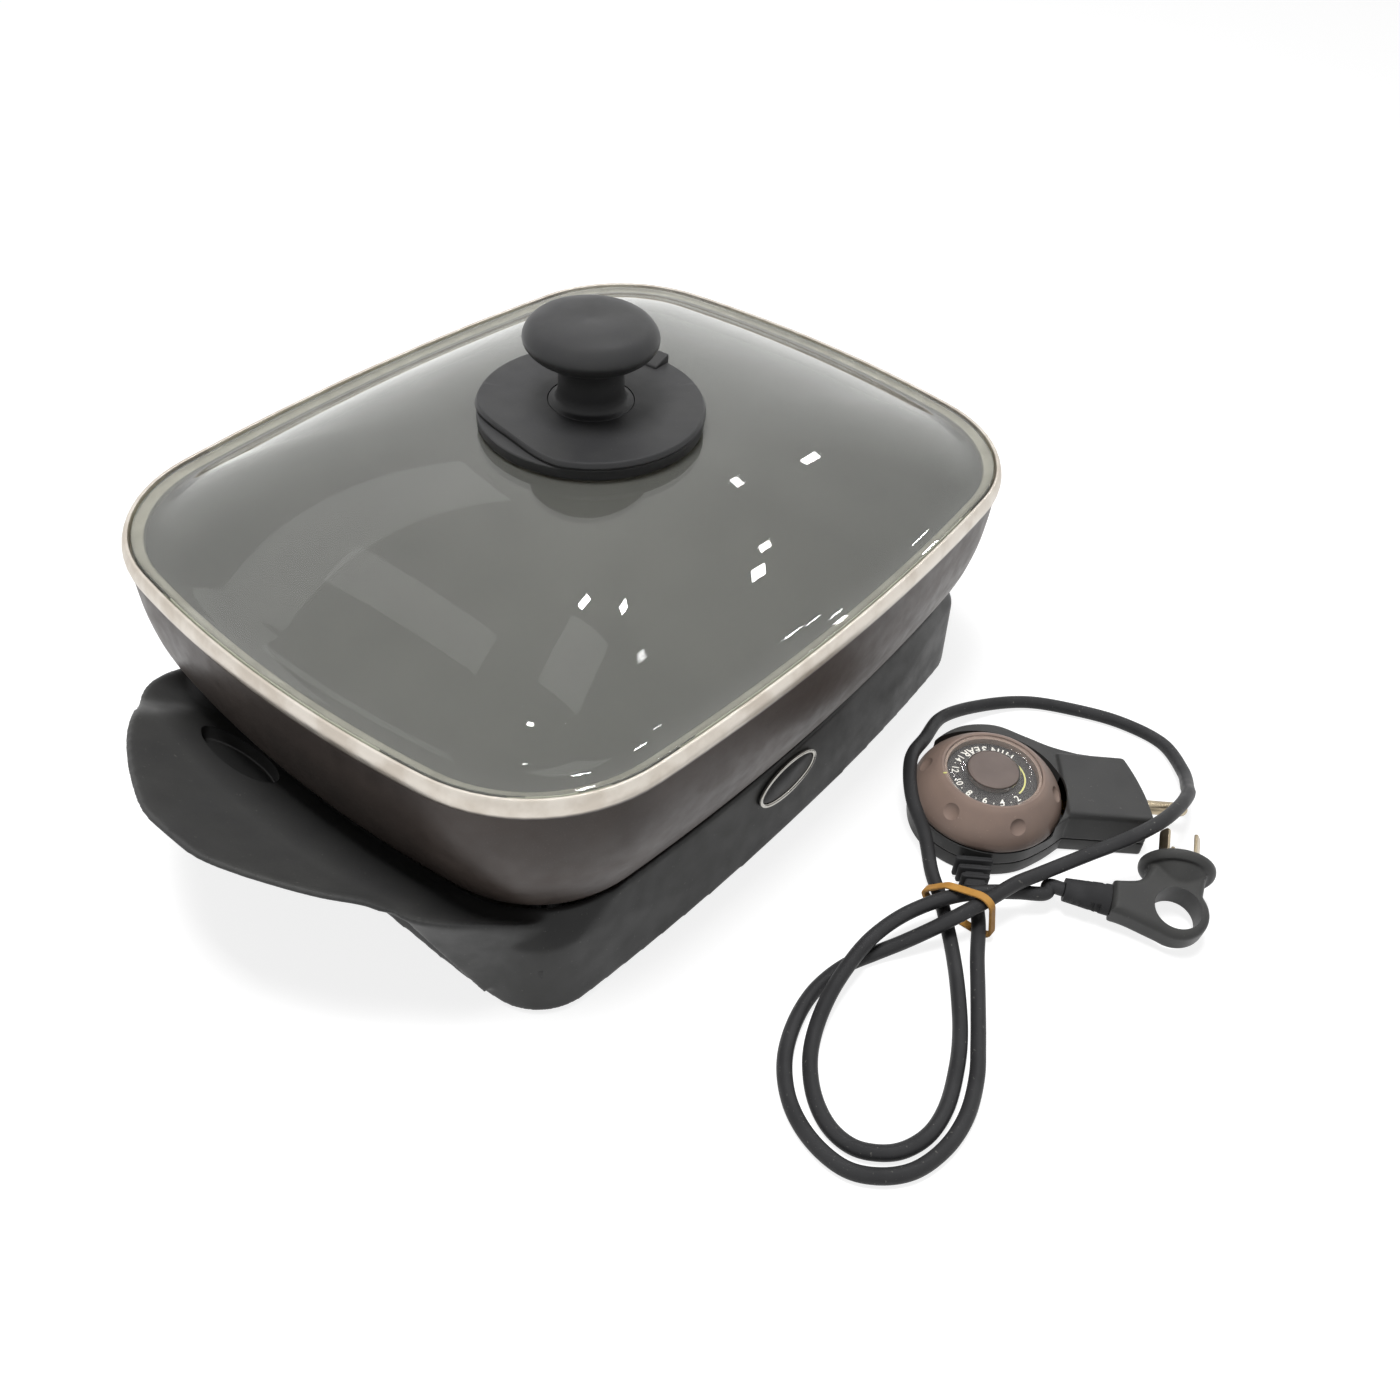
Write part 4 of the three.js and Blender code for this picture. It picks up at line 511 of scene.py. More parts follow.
def makeFloor(use):
    half = use["floorHalf"]
    mesh = bpy.data.meshes.new("floor")
    mesh.from_pydata([(sx * half, sy * half, 0) for sx, sy in quadrants], [], [(0, 1, 2, 3)])
    paper, shader = startFinish("palePaper")
    clouds = ramped(paper, noiseOf(paper, 300, 3), 0.3, 0.7)
    tint = colourMix(paper, clouds, use["floorTone"], use["floorPatch"])
    join(paper, tint, shader.inputs["Base Color"])
    shader.inputs["Roughness"].default_value = 0.9
    shader.inputs["Emission Color"].default_value = (1, 1, 1, 1)
    lift = ramped(paper, seenRays(paper.node_tree), 0, 1, (0, use["floorLift"]))
    join(paper, lift, shader.inputs["Emission Strength"])
    mesh.materials.append(paper)
    addObject("floor", mesh)


def makeStudio(use):
    world = bpy.data.worlds.new("studio")
    bpy.context.scene.world = world
    world.use_nodes = True
    tree = world.node_tree
    backdrop = tree.nodes["Background"]
    backdrop.inputs["Color"].default_value = (1, 1, 1, 1)
    strength = tree.nodes.new("ShaderNodeMapRange")
    strength.inputs[3].default_value = use["ambient"]
    strength.inputs[4].default_value = 1
    tree.links.new(seenRays(tree), strength.inputs[0])
    tree.links.new(strength.outputs[0], backdrop.inputs["Strength"])
    makeFloor(use)

    place, aim = spot(*use["soft"]["place"]), spot(*use["soft"]["aim"])
    lamp = addLamp("softLamp", "SQUARE", use["soft"]["power"], use["soft"]["size"])
    lamp.location = place
    lamp.visible_glossy = False
    lamp.rotation_euler = (aim - place).to_track_quat("-Z", "Y").to_euler()
    faded = [(first, last, wide * share, power * share / 4) for first, last, wide, power in use["mirrored"]
             for share in (use["fades"] if wide > 100 else (1,))]
    for first, last, wide, power in faded:
        first, last = spot(*first), spot(*last)
        lamp = addLamp("mirroredLamp", "RECTANGLE", power, (last - first).length, wide / 1000)
        lamp.visible_diffuse = False
        middle = (first + last) / 2
        out = (middle - spot(*use["domeMiddle"])).normalized()
        beside = out.cross(last - first).normalized()
        lamp.matrix_world = Matrix((beside.cross(out), beside, out)).transposed().to_4x4()
        lamp.location = middle
    bpy.context.scene.view_settings.view_transform = "Standard"


makeStudio(studio)
print("studio lit")

# mains lead: one line from the probe's relief to the plug's relief
lead = {
    "diameter": 7.2,
    "steps": 1100,
    "route": [
        (1.7, -254.2, 6.7), (-14, -263.2, 4.6), (-29.5, -272.8, 3.9), (-54.8, -287.8, 3.9),
        (-69.7, -295.8, 3.9), (-89.3, -302.2, 3.9), (-108.3, -303, 3.9), (-125.6, -298.2, 3.9),
        (-137, -288.6, 3.9), (-143.4, -276.4, 3.9), (-142.8, -259.3, 3.9), (-135.4, -242.3, 3.9),
        (-121.5, -228.3, 3.9), (-104.1, -219.8, 3.9), (-82.5, -215.6, 3.9), (-60.5, -218.2, 3.9),
        (-45, -225, 4.4), (-32.5, -232.8, 8), (-18.9, -241, 13), (-4.8, -248.6, 18.4), (7, -254, 21.4),
        (22, -259, 23), (38, -265, 21.4), (59.3, -277, 25.6), (78.7, -290.3, 33), (95.3, -297.2, 35.6),
        (114.9, -299.4, 32.2), (133.4, -298.4, 26.2), (148.6, -294.7, 16.4), (168.4, -286, 8),
        (185.4, -267, 4.2), (185.4, -242.3, 3.9), (176.6, -216.9, 3.9), (163.1, -192.8, 4),
        (138.3, -175.3, 7), (109.1, -166.5, 13), (79.8, -171.6, 21), (54.9, -177.2, 27.6),
        (34.2, -191.4, 25.6), (25.4, -206.2, 16.6), (12.2, -220.5, 9), (2.7, -231.9, 6.8),
        (-9.3, -243.8, 4.9), (-20.4, -253.8, 3.9), (-35.2, -265.2, 3.9), (-55, -278.4, 3.9),
        (-70.8, -286.3, 3.9), (-92.6, -293.6, 3.9), (-108.6, -294.2, 3.9), (-121.6, -289.3, 3.9),
        (-129.1, -281.9, 3.9), (-133.4, -272.9, 3.9), (-132.9, -261.4, 3.9), (-126, -248.3, 3.9),
        (-112.6, -235.8, 3.9), (-98.4, -228.4, 5), (-80.8, -223.6, 9.4), (-62, -221.6, 12.2),
        (-45.3, -221.4, 12.9), (-27, -224.6, 13.4), (-11.8, -230.6, 14.4), (1.6, -238.6, 15.4),
        (14, -249, 15.8), (25.6, -260.6, 14.6), (36.5, -271, 12.8),
    ],
}
probe = {"place": (68.3, -216.8, 0), "turn": -0.942}
plug = {
    "place": (89.5, -314), "turn": 0.436, "tilt": 0.2, "flange": 18.5, "flangeThick": 5, "halfThick": 7.5,
    "handle": 15.5, "hole": 11.3, "holeBack": 27, "neck": 31, "neckHalf": 8.6, "relief": 22, "tip": 5.8,
    "slots": 4, "slotWide": 2, "taper": 0.28,
}
plugHeight = plug["flange"] * cos(plug["tilt"]) + plug["flangeThick"] * sin(plug["tilt"]) + 0.3
probeTurned = Matrix.Translation(probe["place"]) @ Matrix.Rotation(probe["turn"], 4, "Z")
plugTurned = (Matrix.Translation((*plug["place"], plugHeight)) @ Matrix.Rotation(plug["turn"], 4, "Z")
              @ Matrix.Rotation(-plug["tilt"], 4, "Y"))
atProbe, atPlug = atPan @ probeTurned, atPan @ plugTurned
gland = {"x": -9, "face": -38.885, "long": 19, "wide": 19, "high": 13, "z": 8.4, "core": 0.52, "ribs": 4,
         "ribShare": 0.62, "inside": 8.8, "collar": 2.2}
leadStart = Vector((gland["x"], gland["face"] - gland["long"] - 0.3, gland["z"]))
leadEnd = Vector((-plug["holeBack"], plug["neck"] + plug["relief"] + 0.6, 0))
leadPoints = ([probeTurned @ leadStart, probeTurned @ (leadStart + Vector((0, -lead["diameter"], -0.6)))]
              + [Vector(p) for p in lead["route"]]
              + [plugTurned @ (leadEnd + Vector((0, lead["diameter"], 0))), plugTurned @ leadEnd])
leadLine = throughPoints(leadPoints, lead["steps"])


def makeLead():
    curve = bpy.data.curves.new("mainsLead", "CURVE")
    curve.dimensions = "3D"
    line = curve.splines.new("POLY")
    line.points.add(len(leadLine) - 1)
    for point, place in zip(line.points, leadLine):
        point.co = (*spot(*place), 1)
    line.use_smooth = True
    curve.bevel_depth = lead["diameter"] / 2000
    curve.bevel_resolution = 5
    curve.use_fill_caps = True
    curve.materials.append(finishOf["leadJacket"])
    piece = addObject("mainsLead", curve)
    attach(piece, "skillet")
    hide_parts("power_cord")
    return piece


mainsLead = makeLead()
print("lead laid")

# rubber tie round the strands that cross one plane
tie = {"x": 2, "y": -243, "reach": 22, "thick": 1.3, "wide": 3.2, "band": 4.4, "clear": 0.9}


def hullOf(points):
    ordered = sorted(points)

    def chain(run):
        kept = []
        for p in run:
            while len(kept) > 1 and ((kept[-1][0] - kept[-2][0]) * (p[1] - kept[-2][1])
                                     - (kept[-1][1] - kept[-2][1]) * (p[0] - kept[-2][0])) <= 0:
                kept.pop()
            kept.append(p)
        return kept[:-1]

    return chain(ordered) + chain(ordered[::-1])


def evenly(outline, count):
    # the same closed line in equal steps
    points = [Vector(p) for p in outline] + [Vector(outline[0])]
    runs = [(b - a).length for a, b in zip(points, points[1:])]
    total, even = sum(runs), []
    for k in range(count):
        left, i = total * k / count, 0
        while left > runs[i]:
            left -= runs[i]
            i += 1
        even.append(points[i].lerp(points[i + 1], left / runs[i]))
    return even


def bandOutline(extra):
    ring = []
    for a, b in zip(leadLine, leadLine[1:]):
        if (a.x - tie["x"]) * (b.x - tie["x"]) > 0 or a.x == b.x:
            continue
        at = a.lerp(b, (tie["x"] - a.x) / (b.x - a.x))
        if abs(at.y - tie["y"]) > tie["reach"]:
            continue
        run = (b - a) / abs(b.x - a.x)
        room = lead["diameter"] / 2 + tie["clear"] + extra
        halfY = room * hypot(1, run.y) + tie["wide"] / 2 * abs(run.y)
        halfZ = room + tie["wide"] / 2 * abs(run.z)
        ring += [(at.y + halfY * c, at.z + halfZ * s) for c, s in unitCircle(24)]
    return evenly(hullOf(ring), 140)


def makeTie():
    outer, inner = bandOutline(tie["thick"]), bandOutline(0)
    half = tie["band"] / 2
    section = rounded([(-half, 0), (-half, 1), (half, 1), (half, 0)], 0.45)
    rings = [[Vector((tie["x"] + across, *low.lerp(high, rise))) for low, high in zip(inner, outer)]
             for across, rise in section]
    piece = meshObject("rubberTie", [loft(rings, closed=True)], atPan)
    return dressed(piece, "bandRubber", "skillet", "cord_tie")


rubberTie = makeTie()
print("tie round the bundle")

# cast pan: bowed rectangle, wall curling in to the floor, rolled lip with a seat for the lid
pan = {
    "halfLong": 200, "halfWide": 160.2, "corner": 75, "bowLong": 6.2, "bowShort": 6.2, "height": 145,
    "lipDeep": 10, "flare": 1.7, "lipTop": 1.8, "seatDeep": 5, "seatWide": 6.7, "wall": 4, "lean": 24,
    "curl": 2.5, "bottom": 50, "floor": 5, "outerCorner": 12, "innerCorner": 16, "bossRadius": 7,
    "bossLow": 37.3, "bossHigh": 51, "bossLong": 132, "bossWide": 94, "screw": 2.5, "wellRadius": 7.5,
    "wellLong": 42, "wellFront": 111.7, "wellBore": 4, "inletHeight": 31.4,
    "bridge": (7.5, 14, 44),  # between well and floor: width, height and middle
}


def panInsetAt(z):
    lipLow = pan["height"] - pan["lipDeep"]
    return pan["lean"] * (max(0, lipLow - z) / (lipLow - pan["bottom"])) ** pan["curl"]


def panInnerAt(z):
    return max(panInsetAt(z) + pan["wall"], pan["lipTop"] + pan["seatWide"])


def cornerAt(insetAt, bottom, radius, steps=8):
    # from the flat bottom round into the wall
    corner = []
    for i in range(steps + 1):
        angle = i / steps * pi / 2
        z = bottom + radius * (1 - cos(angle))
        corner.append((insetAt(z) + radius * (1 - sin(angle)), z))
    return corner


def makePan():
    top, lipLow, seat = pan["height"], pan["height"] - pan["lipDeep"], pan["height"] - pan["seatDeep"]
    flare, lip, floorTop = pan["flare"], pan["lipTop"], pan["bottom"] + pan["floor"]
    wallLow, innerLow = pan["bottom"] + pan["outerCorner"], floorTop + pan["innerCorner"]
    seatEnd = lip + pan["seatWide"]
    section = cornerAt(panInsetAt, pan["bottom"], pan["outerCorner"])
    section += [(panInsetAt(z), z) for z in (blendOf(wallLow, lipLow, i / 18) for i in range(1, 19))]
    outer = throughPoints([(-0.2, lipLow + 0.1, 0), (-flare / 2, lipLow + 0.5, 0), (-flare, top - 5.5, 0),
                           (-flare * 0.7, top - 2.7, 0), (0, top - 0.4, 0), (0.5, top, 0)], 24)
    section += [(p.x, p.y) for p in outer]
    section += rounded([(0.5, top), (lip, top), (lip + 0.28, seat), (seatEnd, seat), (seatEnd + 0.1, seat - 6)],
                       0.9, closed=False)[1:-1]
    coatFrom = len(section) + 1
    section += [(panInnerAt(z), z) for z in (blendOf(seat - 1.5, innerLow, i / 16) for i in range(17))]
    section += cornerAt(panInnerAt, floorTop, pan["innerCorner"])[::-1]
    parts = [loft([level(bowedOutline(pan, inset), z) for inset, z in section])]
    boss = lathe(ringSection(pan["screw"], pan["bossRadius"], pan["bossLow"], pan["bossHigh"]), 32)
    for sx, sy in quadrants:
        parts.append(moved(boss, Matrix.Translation((sx * pan["bossLong"], sy * pan["bossWide"], 0))))
    front, back = pan["wellFront"], pan["wellFront"] - pan["wellLong"]
    well = ringSection(pan["wellBore"], pan["wellRadius"], back, front)
    parts.append(loft([[Vector((r * c, y, pan["inletHeight"] + r * s)) for c, s in unitCircle(32)]
                       for r, y in well], closed=True))
    wide, high, middle = pan["bridge"]
    parts.append(block((wide, pan["wellLong"], high), (0, (back + front) / 2, middle), 0.6))
    piece = meshObject("castPan", parts, atPan)
    dressed(piece, ["brownCoat", "innerCoat"], "skillet", "pan_body", 50)
    around = len(bowedOutline(pan))
    walls = around * (len(section) - 1)
    for face in piece.data.polygons[around * coatFrom:walls]:
        face.material_index = 1
    piece.data.polygons[walls + 1].material_index = 1  # the floor inside


makePan()
print("pan cast")

# base moulding: skirt round the pan with a lift wing at each end
base = {
    "halfLong": 184.2, "halfWide": 145.8, "corner": 31, "bowLong": 7.6, "bowShort": 3.7, "low": 2, "arch": 5,
    "wall": 3, "topFront": 51, "topEnd": 56.5, "crease": 2, "creaseLow": 19, "creaseHigh": 45, "panGap": -0.5,
    "bossRadius": 8, "bossLow": 9.3, "bossTop": 37, "ribThick": 3, "ribHigh": 22, "footRadius": 6.5,
    "footPlace": 20.5, "footLow": 5.3, "footTop": 15, "voxel": 0.00095, "smoothing": 20,
    # where the skirt changes towards its ends, as shares of halfLong, and the arch's run across
    "topRise": (0.55, 0.92), "creaseRise": (0.4, 0.86), "archRise": (0.8, 0.9), "archFade": (35, 100),
}
# the wing's lines, as shares of span, reach and rise, and where its ends are filled in
wing = {
    "halfSpan": 104, "reach": 72.8, "rise": 39, "thick": 3.4, "fillTo": (180.8, 50), "fill": (0.68, 0.84),
    "edge": [(0, 1, 1), (0.17, 0.985, 0.985), (0.31, 0.918, 0.955), (0.48, 0.805, 0.905), (0.63, 0.682, 0.84),
             (0.77, 0.53, 0.75), (0.865, 0.45, 0.56), (0.9, 0.345, 0.08), (0.955, 0.19, -0.65),
             (1.012, 0.05, -1.3)],
    "shoulder": [(0, 0.6, 0.526), (0.17, 0.593, 0.515), (0.31, 0.544, 0.5), (0.48, 0.482, 0.487),
                 (0.63, 0.412, 0.487), (0.788, 0.365, 0.5), (0.914, 0.37, 0.49), (1.01, 0.27, 0.42),
                 (1.1, 0.08, 0.25), (1.2, -0.225, -0.14)],
    "ridge": [(0, 0.05, 0.09), (0.17, 0.05, 0.09), (0.31, 0.04, 0.08), (0.48, 0.03, 0.06), (0.63, 0.015, 0.04),
              (0.78, 0, 0.03), (0.894, 0.016, 0.038), (0.995, -0.011, 0.026), (1.091, -0.093, 0.013),
              (1.1875, -0.286, -0.05)],
    "root": (0, 0.17, 0.31, 0.48, 0.63, 0.77, 0.875, 0.97, 1.067, 1.17),
    "steps": 44, "across": 12,
}
recess = {"halfLong": 26, "halfWide": 10.5, "deep": 5.2, "skin": 2, "y": 44, "reach": 13}
wingRoot = pan["halfLong"] - panInsetAt(base["topEnd"]) + base["panGap"]
inlet = {"halfX": 22.8, "halfZ": 14.8, "wall": 2, "corner": 4, "back": 112, "long": 29}


def skirtTopAt(x):
    return blendOf(base["topFront"], base["topEnd"], ease(*base["topRise"], abs(x) / base["halfLong"]))


def skirtShape():
    floor = bowedOutline(base)
    ends = [abs(x) / base["halfLong"] for x, _ in floor]
    creases = [blendOf(base["creaseLow"], base["creaseHigh"], ease(*base["creaseRise"], end)) for end in ends]
    tops = [skirtTopAt(x) for x, _ in floor]
    # the foot of each end arches up between the corners
    arches = [base["low"] + base["arch"] * (1 - ease(*base["archFade"], abs(y))) * ease(*base["archRise"], end)
              for (_, y), end in zip(floor, ends)]

    def beside(extra):
        return [Vector((*bowedOutline(pan, panInsetAt(z) - extra)[i], z)) for i, z in enumerate(tops)]

    def atHeights(inset, heights, drop=0.0):
        return [Vector((x, y, z - drop)) for (x, y), z in zip(bowedOutline(base, inset), heights)]

    wall, gap, crease = base["wall"], base["panGap"], base["crease"]
    outerLow, outerMid, outerTop = atHeights(0, arches), atHeights(crease, creases), beside(gap + wall)
    innerLow, innerTop = atHeights(wall, arches), beside(gap)
    innerMid = atHeights(crease + wall, creases, wall / 2)
    rings = []
    for first, last, steps in ((outerLow, outerMid, 6), (outerMid, outerTop, 6), (outerTop, innerTop, 2),
                               (innerTop, innerMid, 6), (innerMid, innerLow, 6), (innerLow, outerLow, 2)):
        rings += [[a.lerp(b, k / steps) for a, b in zip(first, last)] for k in range(steps)]
    return loft(rings, closed=True)


def skirtTopBeside(y):
    ring = bowedOutline(pan, panInsetAt(base["topEnd"]) - base["panGap"] - base["wall"] / 3)
    line = sorted((p for p in ring if p[0] > 0), key=lambda p: p[1])
    after = next(i for i, p in enumerate(line) if p[1] > y)
    (ax, ay), (bx, by) = line[after - 1], line[after]
    x = ax + (bx - ax) * (y - ay) / (by - ay)
    return Vector((x, y, skirtTopAt(x) - 0.3))


def wingShape(side):
    def line(name):
        places = [Vector((wingRoot + reach * wing["reach"], span * wing["halfSpan"],
                          base["topEnd"] + rise * wing["rise"])) for span, reach, rise in wing[name]]
        return throughPoints(places, wing["steps"])

    steps, thick, (fillX, fillZ) = wing["steps"], wing["thick"], wing["fillTo"]
    root = throughPoints([skirtTopBeside(span * wing["halfSpan"]) for span in wing["root"]], steps)
    half = [[a, a.lerp(b, 0.5), a.lerp(b, 0.85)] + throughPoints([b, c, d], wing["across"])
            for a, b, c, d in zip(root, line("ridge"), line("shoulder"), line("edge"))]
    grid = [[Vector((p.x, -p.y, p.z)) for p in row] for row in half[:0:-1]] + half
    rings = []
    for j, row in enumerate(grid):
        # the ends are filled in towards the skirt
        filled = ease(*wing["fill"], abs(j - steps) / steps)
        under = []
        for i, p in enumerate(row):
            along = grid[min(j + 1, 2 * steps)][i] - grid[max(j - 1, 0)][i]
            over = (row[min(i + 1, len(row) - 1)] - row[max(i - 1, 0)]).normalized()
            down = along.cross(over).normalized()
            inner = Vector((fillX, p.y, min(p.z - thick, fillZ)))
            under.append((p + down * thick).lerp(inner, filled * min(max((p.x - fillX) / 6, 0), 1)))
        turns = [k / 6 * pi for k in range(1, 6)]
        rounding = [row[-1] + down * thick * (1 - cos(turn)) / 2 + over * thick * (sin(turn) / 2 - 0.35)
                    for turn in turns]
        rings.append([Vector((side * p.x, p.y, p.z)) for p in row[:-1] + rounding + under[-2::-1]])
    return loft(rings)


def recessShape(extra, low, high, side, soft=0.3):
    # an oval pad lying in the wing's slope
    halfWide, halfLong = recess["halfWide"] + extra, recess["halfLong"] + extra
    _, reach, rise = wing["shoulder"][0]
    slope = atan2(wing["rise"] * rise, wing["reach"] * reach)
    rise = base["topEnd"] + recess["reach"] * sin(slope) / cos(slope)
    place = Matrix.Translation((wingRoot + recess["reach"], recess["y"], rise))
    pad = moved(softPrism(circle(halfWide, 72, wide=halfLong / halfWide), low, high, soft),
                place @ Matrix.Rotation(-slope, 4, "Y"))
    return moved(pad, Matrix.Scale(side, 4, (1, 0, 0)))


def inletOutline(extra):
    x, z, r = inlet["halfX"] + extra, inlet["halfZ"] + extra, inlet["corner"] + extra
    return rounded([(x, -z), (x, z), (-x, z), (-x, -z)], r * 1.4, steps=8)


standing = Matrix.Translation((0, 0, pan["inletHeight"])) @ Matrix.Rotation(pi / 2, 4, "X")


def makeBase():
    sides, deep, skin = (-1, 1), recess["deep"], recess["skin"]
    parts = [skirtShape()] + [wingShape(side) for side in sides]
    parts += [recessShape(skin, -deep - skin, -1, side) for side in sides]
    piece = meshObject("baseMoulding", parts, atPan)
    smoothed(piece, base["voxel"], base["smoothing"])
    cuts = [recessShape(0, -deep, deep * 2, side, 1.2) for side in sides]
    mouth = softPrism(inletOutline(inlet["wall"] + 0.3), -base["halfWide"] - 2, 2 - inlet["back"], 0.3)
    cutAway(piece, cuts + [moved(mouth, standing)], atPan)
    # below: a boss and a rib for each screw, and a pad for each foot
    boss = lathe(ringSection(pan["screw"], base["bossRadius"], base["bossLow"], base["bossTop"]), 32)
    cornerX = base["halfLong"] - base["bowShort"] - base["corner"]
    cornerY = base["halfWide"] - base["bowLong"] - base["corner"]
    start, bend, foot = base["bossRadius"] / 2 + 2.2, base["corner"] * 0.68, base["footPlace"] * 0.7071
    under = []
    for sx, sy in quadrants:
        middle = Vector((sx * pan["bossLong"], sy * pan["bossWide"], 0))
        reach = Vector((sx * (cornerX + bend), sy * (cornerY + bend), 0)) - middle
        length = reach.length - start
        rib = block((length, base["ribThick"], base["ribHigh"]),
                    (start + length / 2, 0, base["bossLow"] + base["ribHigh"] / 2))
        under.append(moved(boss, Matrix.Translation(middle)))
        under.append(moved(rib, Matrix.Translation(middle) @ Matrix.Rotation(atan2(reach.y, reach.x), 4, "Z")))
        under.append(softPrism(circle(base["footRadius"], 32, sx * (cornerX + foot), sy * (cornerY + foot)),
                               base["footLow"], base["footTop"], 0.5))
    addParts(piece, under, atPan)
    return dressed(piece, "satinBlack", "skillet", "base_moulding", 42)


baseMoulding = makeBase()


def makeInletSleeve():
    section = ringSection(0, inlet["wall"], -inlet["back"], -inlet["back"] - inlet["long"])
    rings = [level(inletOutline(extra), z) for extra, z in section]
    piece = meshObject("inletSleeve", [loft(rings, closed=True)], atPan @ standing)
    dressed(piece, "satinBlack", "skillet", "inlet_sleeve")


makeInletSleeve()
print("base moulded:", len(baseMoulding.data.polygons), "faces")

# badge: a bare oval plate in a bright ring, leaning with the front skirt
badge = {"x": -8.3, "z": 37.6, "halfWide": 23.5, "halfHigh": 10.3, "ring": 2.2, "deep": 1.8, "plate": 1.0}


def makeBadge():
    creaseFront = base["halfWide"] - base["crease"]
    topFront = pan["halfWide"] - panInsetAt(base["topFront"]) + base["panGap"] + base["wall"]
    lean = atan2(creaseFront - topFront, base["topFront"] - base["creaseLow"])
    face = creaseFront - (badge["z"] - base["creaseLow"]) * sin(lean) / cos(lean)
    place = (atPan @ Matrix.Translation((badge["x"], -face - 0.3, badge["z"]))
             @ Matrix.Rotation(pi / 2 - lean, 4, "X"))

    def oval(inset, z):
        halfWide, halfHigh = badge["halfWide"] - inset, badge["halfHigh"] - inset
        return level([(c * halfWide, s * halfHigh) for c, s in unitCircle(96)], z)

    wide, deep, plate = badge["ring"], badge["deep"], badge["plate"]
    section = rounded([(0, 0), (0.1, deep), (wide, deep * 0.8), (wide, 0)], 0.7, steps=5)
    ring = meshObject("badgeRing", [loft([oval(*point) for point in section], closed=True)], place)
    dressed(ring, "platedSteel", "skillet", "badge_ring")
    rings = [oval(wide + 0.3, 0), oval(wide + 0.3, plate * 0.7), oval(wide + 0.7, plate)]
    piece = meshObject("badgePlate", [loft(rings)], place)
    dressed(piece, "knobBlack", "skillet", "badge_plate")


makeBadge()
print("badge set")

# glass lid: flat flange, shallow dome, flat pad under the knob
lid = {"low": 140.3, "thick": 4, "inset": 2.6, "flange": 11.2, "rise": 34, "hole": 5, "pad": 49, "soft": 1.0,
       "bend": 5, "ventAngle": 2.24, "ventPlace": 51.8, "ventRadius": 2, "edgeFrom": 6}


def outside(place, inset):
    # whether a point lies beyond the pan's outline drawn in by the inset
    x, y = ((place - panMiddle) * 1000)[:2]
    halfX = pan["halfLong"] - inset - pan["bowShort"] * (y / pan["halfWide"]) ** 2
    halfY = pan["halfWide"] - inset - pan["bowLong"] * (x / pan["halfLong"]) ** 2
    corner = pan["corner"] - inset
    over = Vector((max(0, abs(x) - halfX + corner), max(0, abs(y) - halfY + corner)))
    return over.length > corner


def ventHole(low, high):
    x, y = lid["ventPlace"] * cos(lid["ventAngle"]), lid["ventPlace"] * sin(lid["ventAngle"])
    return softPrism(circle(lid["ventRadius"], 32, x, y), low, high, 0.2)


def makeLid():
    inset, flat, soft = lid["inset"], lid["inset"] + lid["flange"], lid["soft"]
    spread = [atan2(y / pan["halfWide"], x / pan["halfLong"]) for x, y in bowedOutline(pan, inset)]
    flange = bowedOutline(pan, flat)

    def dome(t, low):
        z = low + lid["rise"] * (1 - (1 - t) ** 2)
        return [Vector((blendOf(x, lid["pad"] * cos(a), t), blendOf(y, lid["pad"] * sin(a), t), z))
                for (x, y), a in zip(flange, spread)]

    def skin(z):
        bend = list(zip(level(bowedOutline(pan, flat - lid["bend"]), z), level(flange, z), dome(0.05, z)))
        rings = [level(bowedOutline(pan, inset + soft), z)]
        for s in [k / 6 for k in range(7)]:
            rings.append([a * (1 - s) ** 2 + b * 2 * s * (1 - s) + c * s * s for a, b, c in bend])
        rings += [dome(0.05 + 0.95 * (k / 26) ** 0.9, z) for k in range(1, 27)]
        return rings + [[Vector((lid["hole"] * cos(a), lid["hole"] * sin(a), z + lid["rise"])) for a in spread]]

    low, high = lid["low"], lid["low"] + lid["thick"]
    rim = [level(bowedOutline(pan, inset + soft * (1 - sin(turn))), blendOf(high, low, (1 - cos(turn)) / 2))
           for turn in [k / 10 * pi for k in range(1, 10)]]
    piece = meshObject("lidGlass", [loft(skin(low) + skin(high)[::-1] + rim, closed=True)], atPan)
    cutAway(piece, [ventHole(160, 200)], atPan)
    dressed(piece, ["lidGlass", "lidGlassEdge"], "lid", "lid_glass", 60)
    high, low = (high - 0.05) / 1000, (low + 0.05) / 1000
    for face in piece.data.polygons:
        steep = low < face.center.z < high and abs(face.normal.z) < 0.93
        face.material_index = 1 if steep and outside(face.center, lid["edgeFrom"]) else 0


makeLid()
print("lid glazed")

# knob on the lid: seal, disc, turning vent ring, stem and cap
knob = {
    "bore": 5, "gasketLow": 178.6, "gasketHigh": 180.2, "gasket": 46, "discLow": 180.5, "discHigh": 185.1,
    "disc": 54, "ringLow": 185.2, "ringHigh": 188.8, "ring": 54.8, "ringBore": 20.6, "ringSoft": 1.13, "cut": 7,
    "cutAngle": 2.99, "cutHalf": 0.66, "cutFrom": 0.72, "tabAngle": 0.06, "tabLong": 11, "tabWide": 10,
    "tabHigh": 4.4, "stem": 15.8, "stemFoot": 20.5, "stemTop": 212.1, "capLow": 212.4, "cap": 31.6,
    "capHigh": 19.5, "screw": 3.3, "screwDeep": 8,
    # the cap's crown as shares of its radius and height
    "crown": [(0.6, 0), (0.86, 0.16), (0.98, 0.36), (1, 0.5), (0.965, 0.66), (0.86, 0.84), (0.66, 0.96),
              (0.36, 1), (0, 0.965)],
}


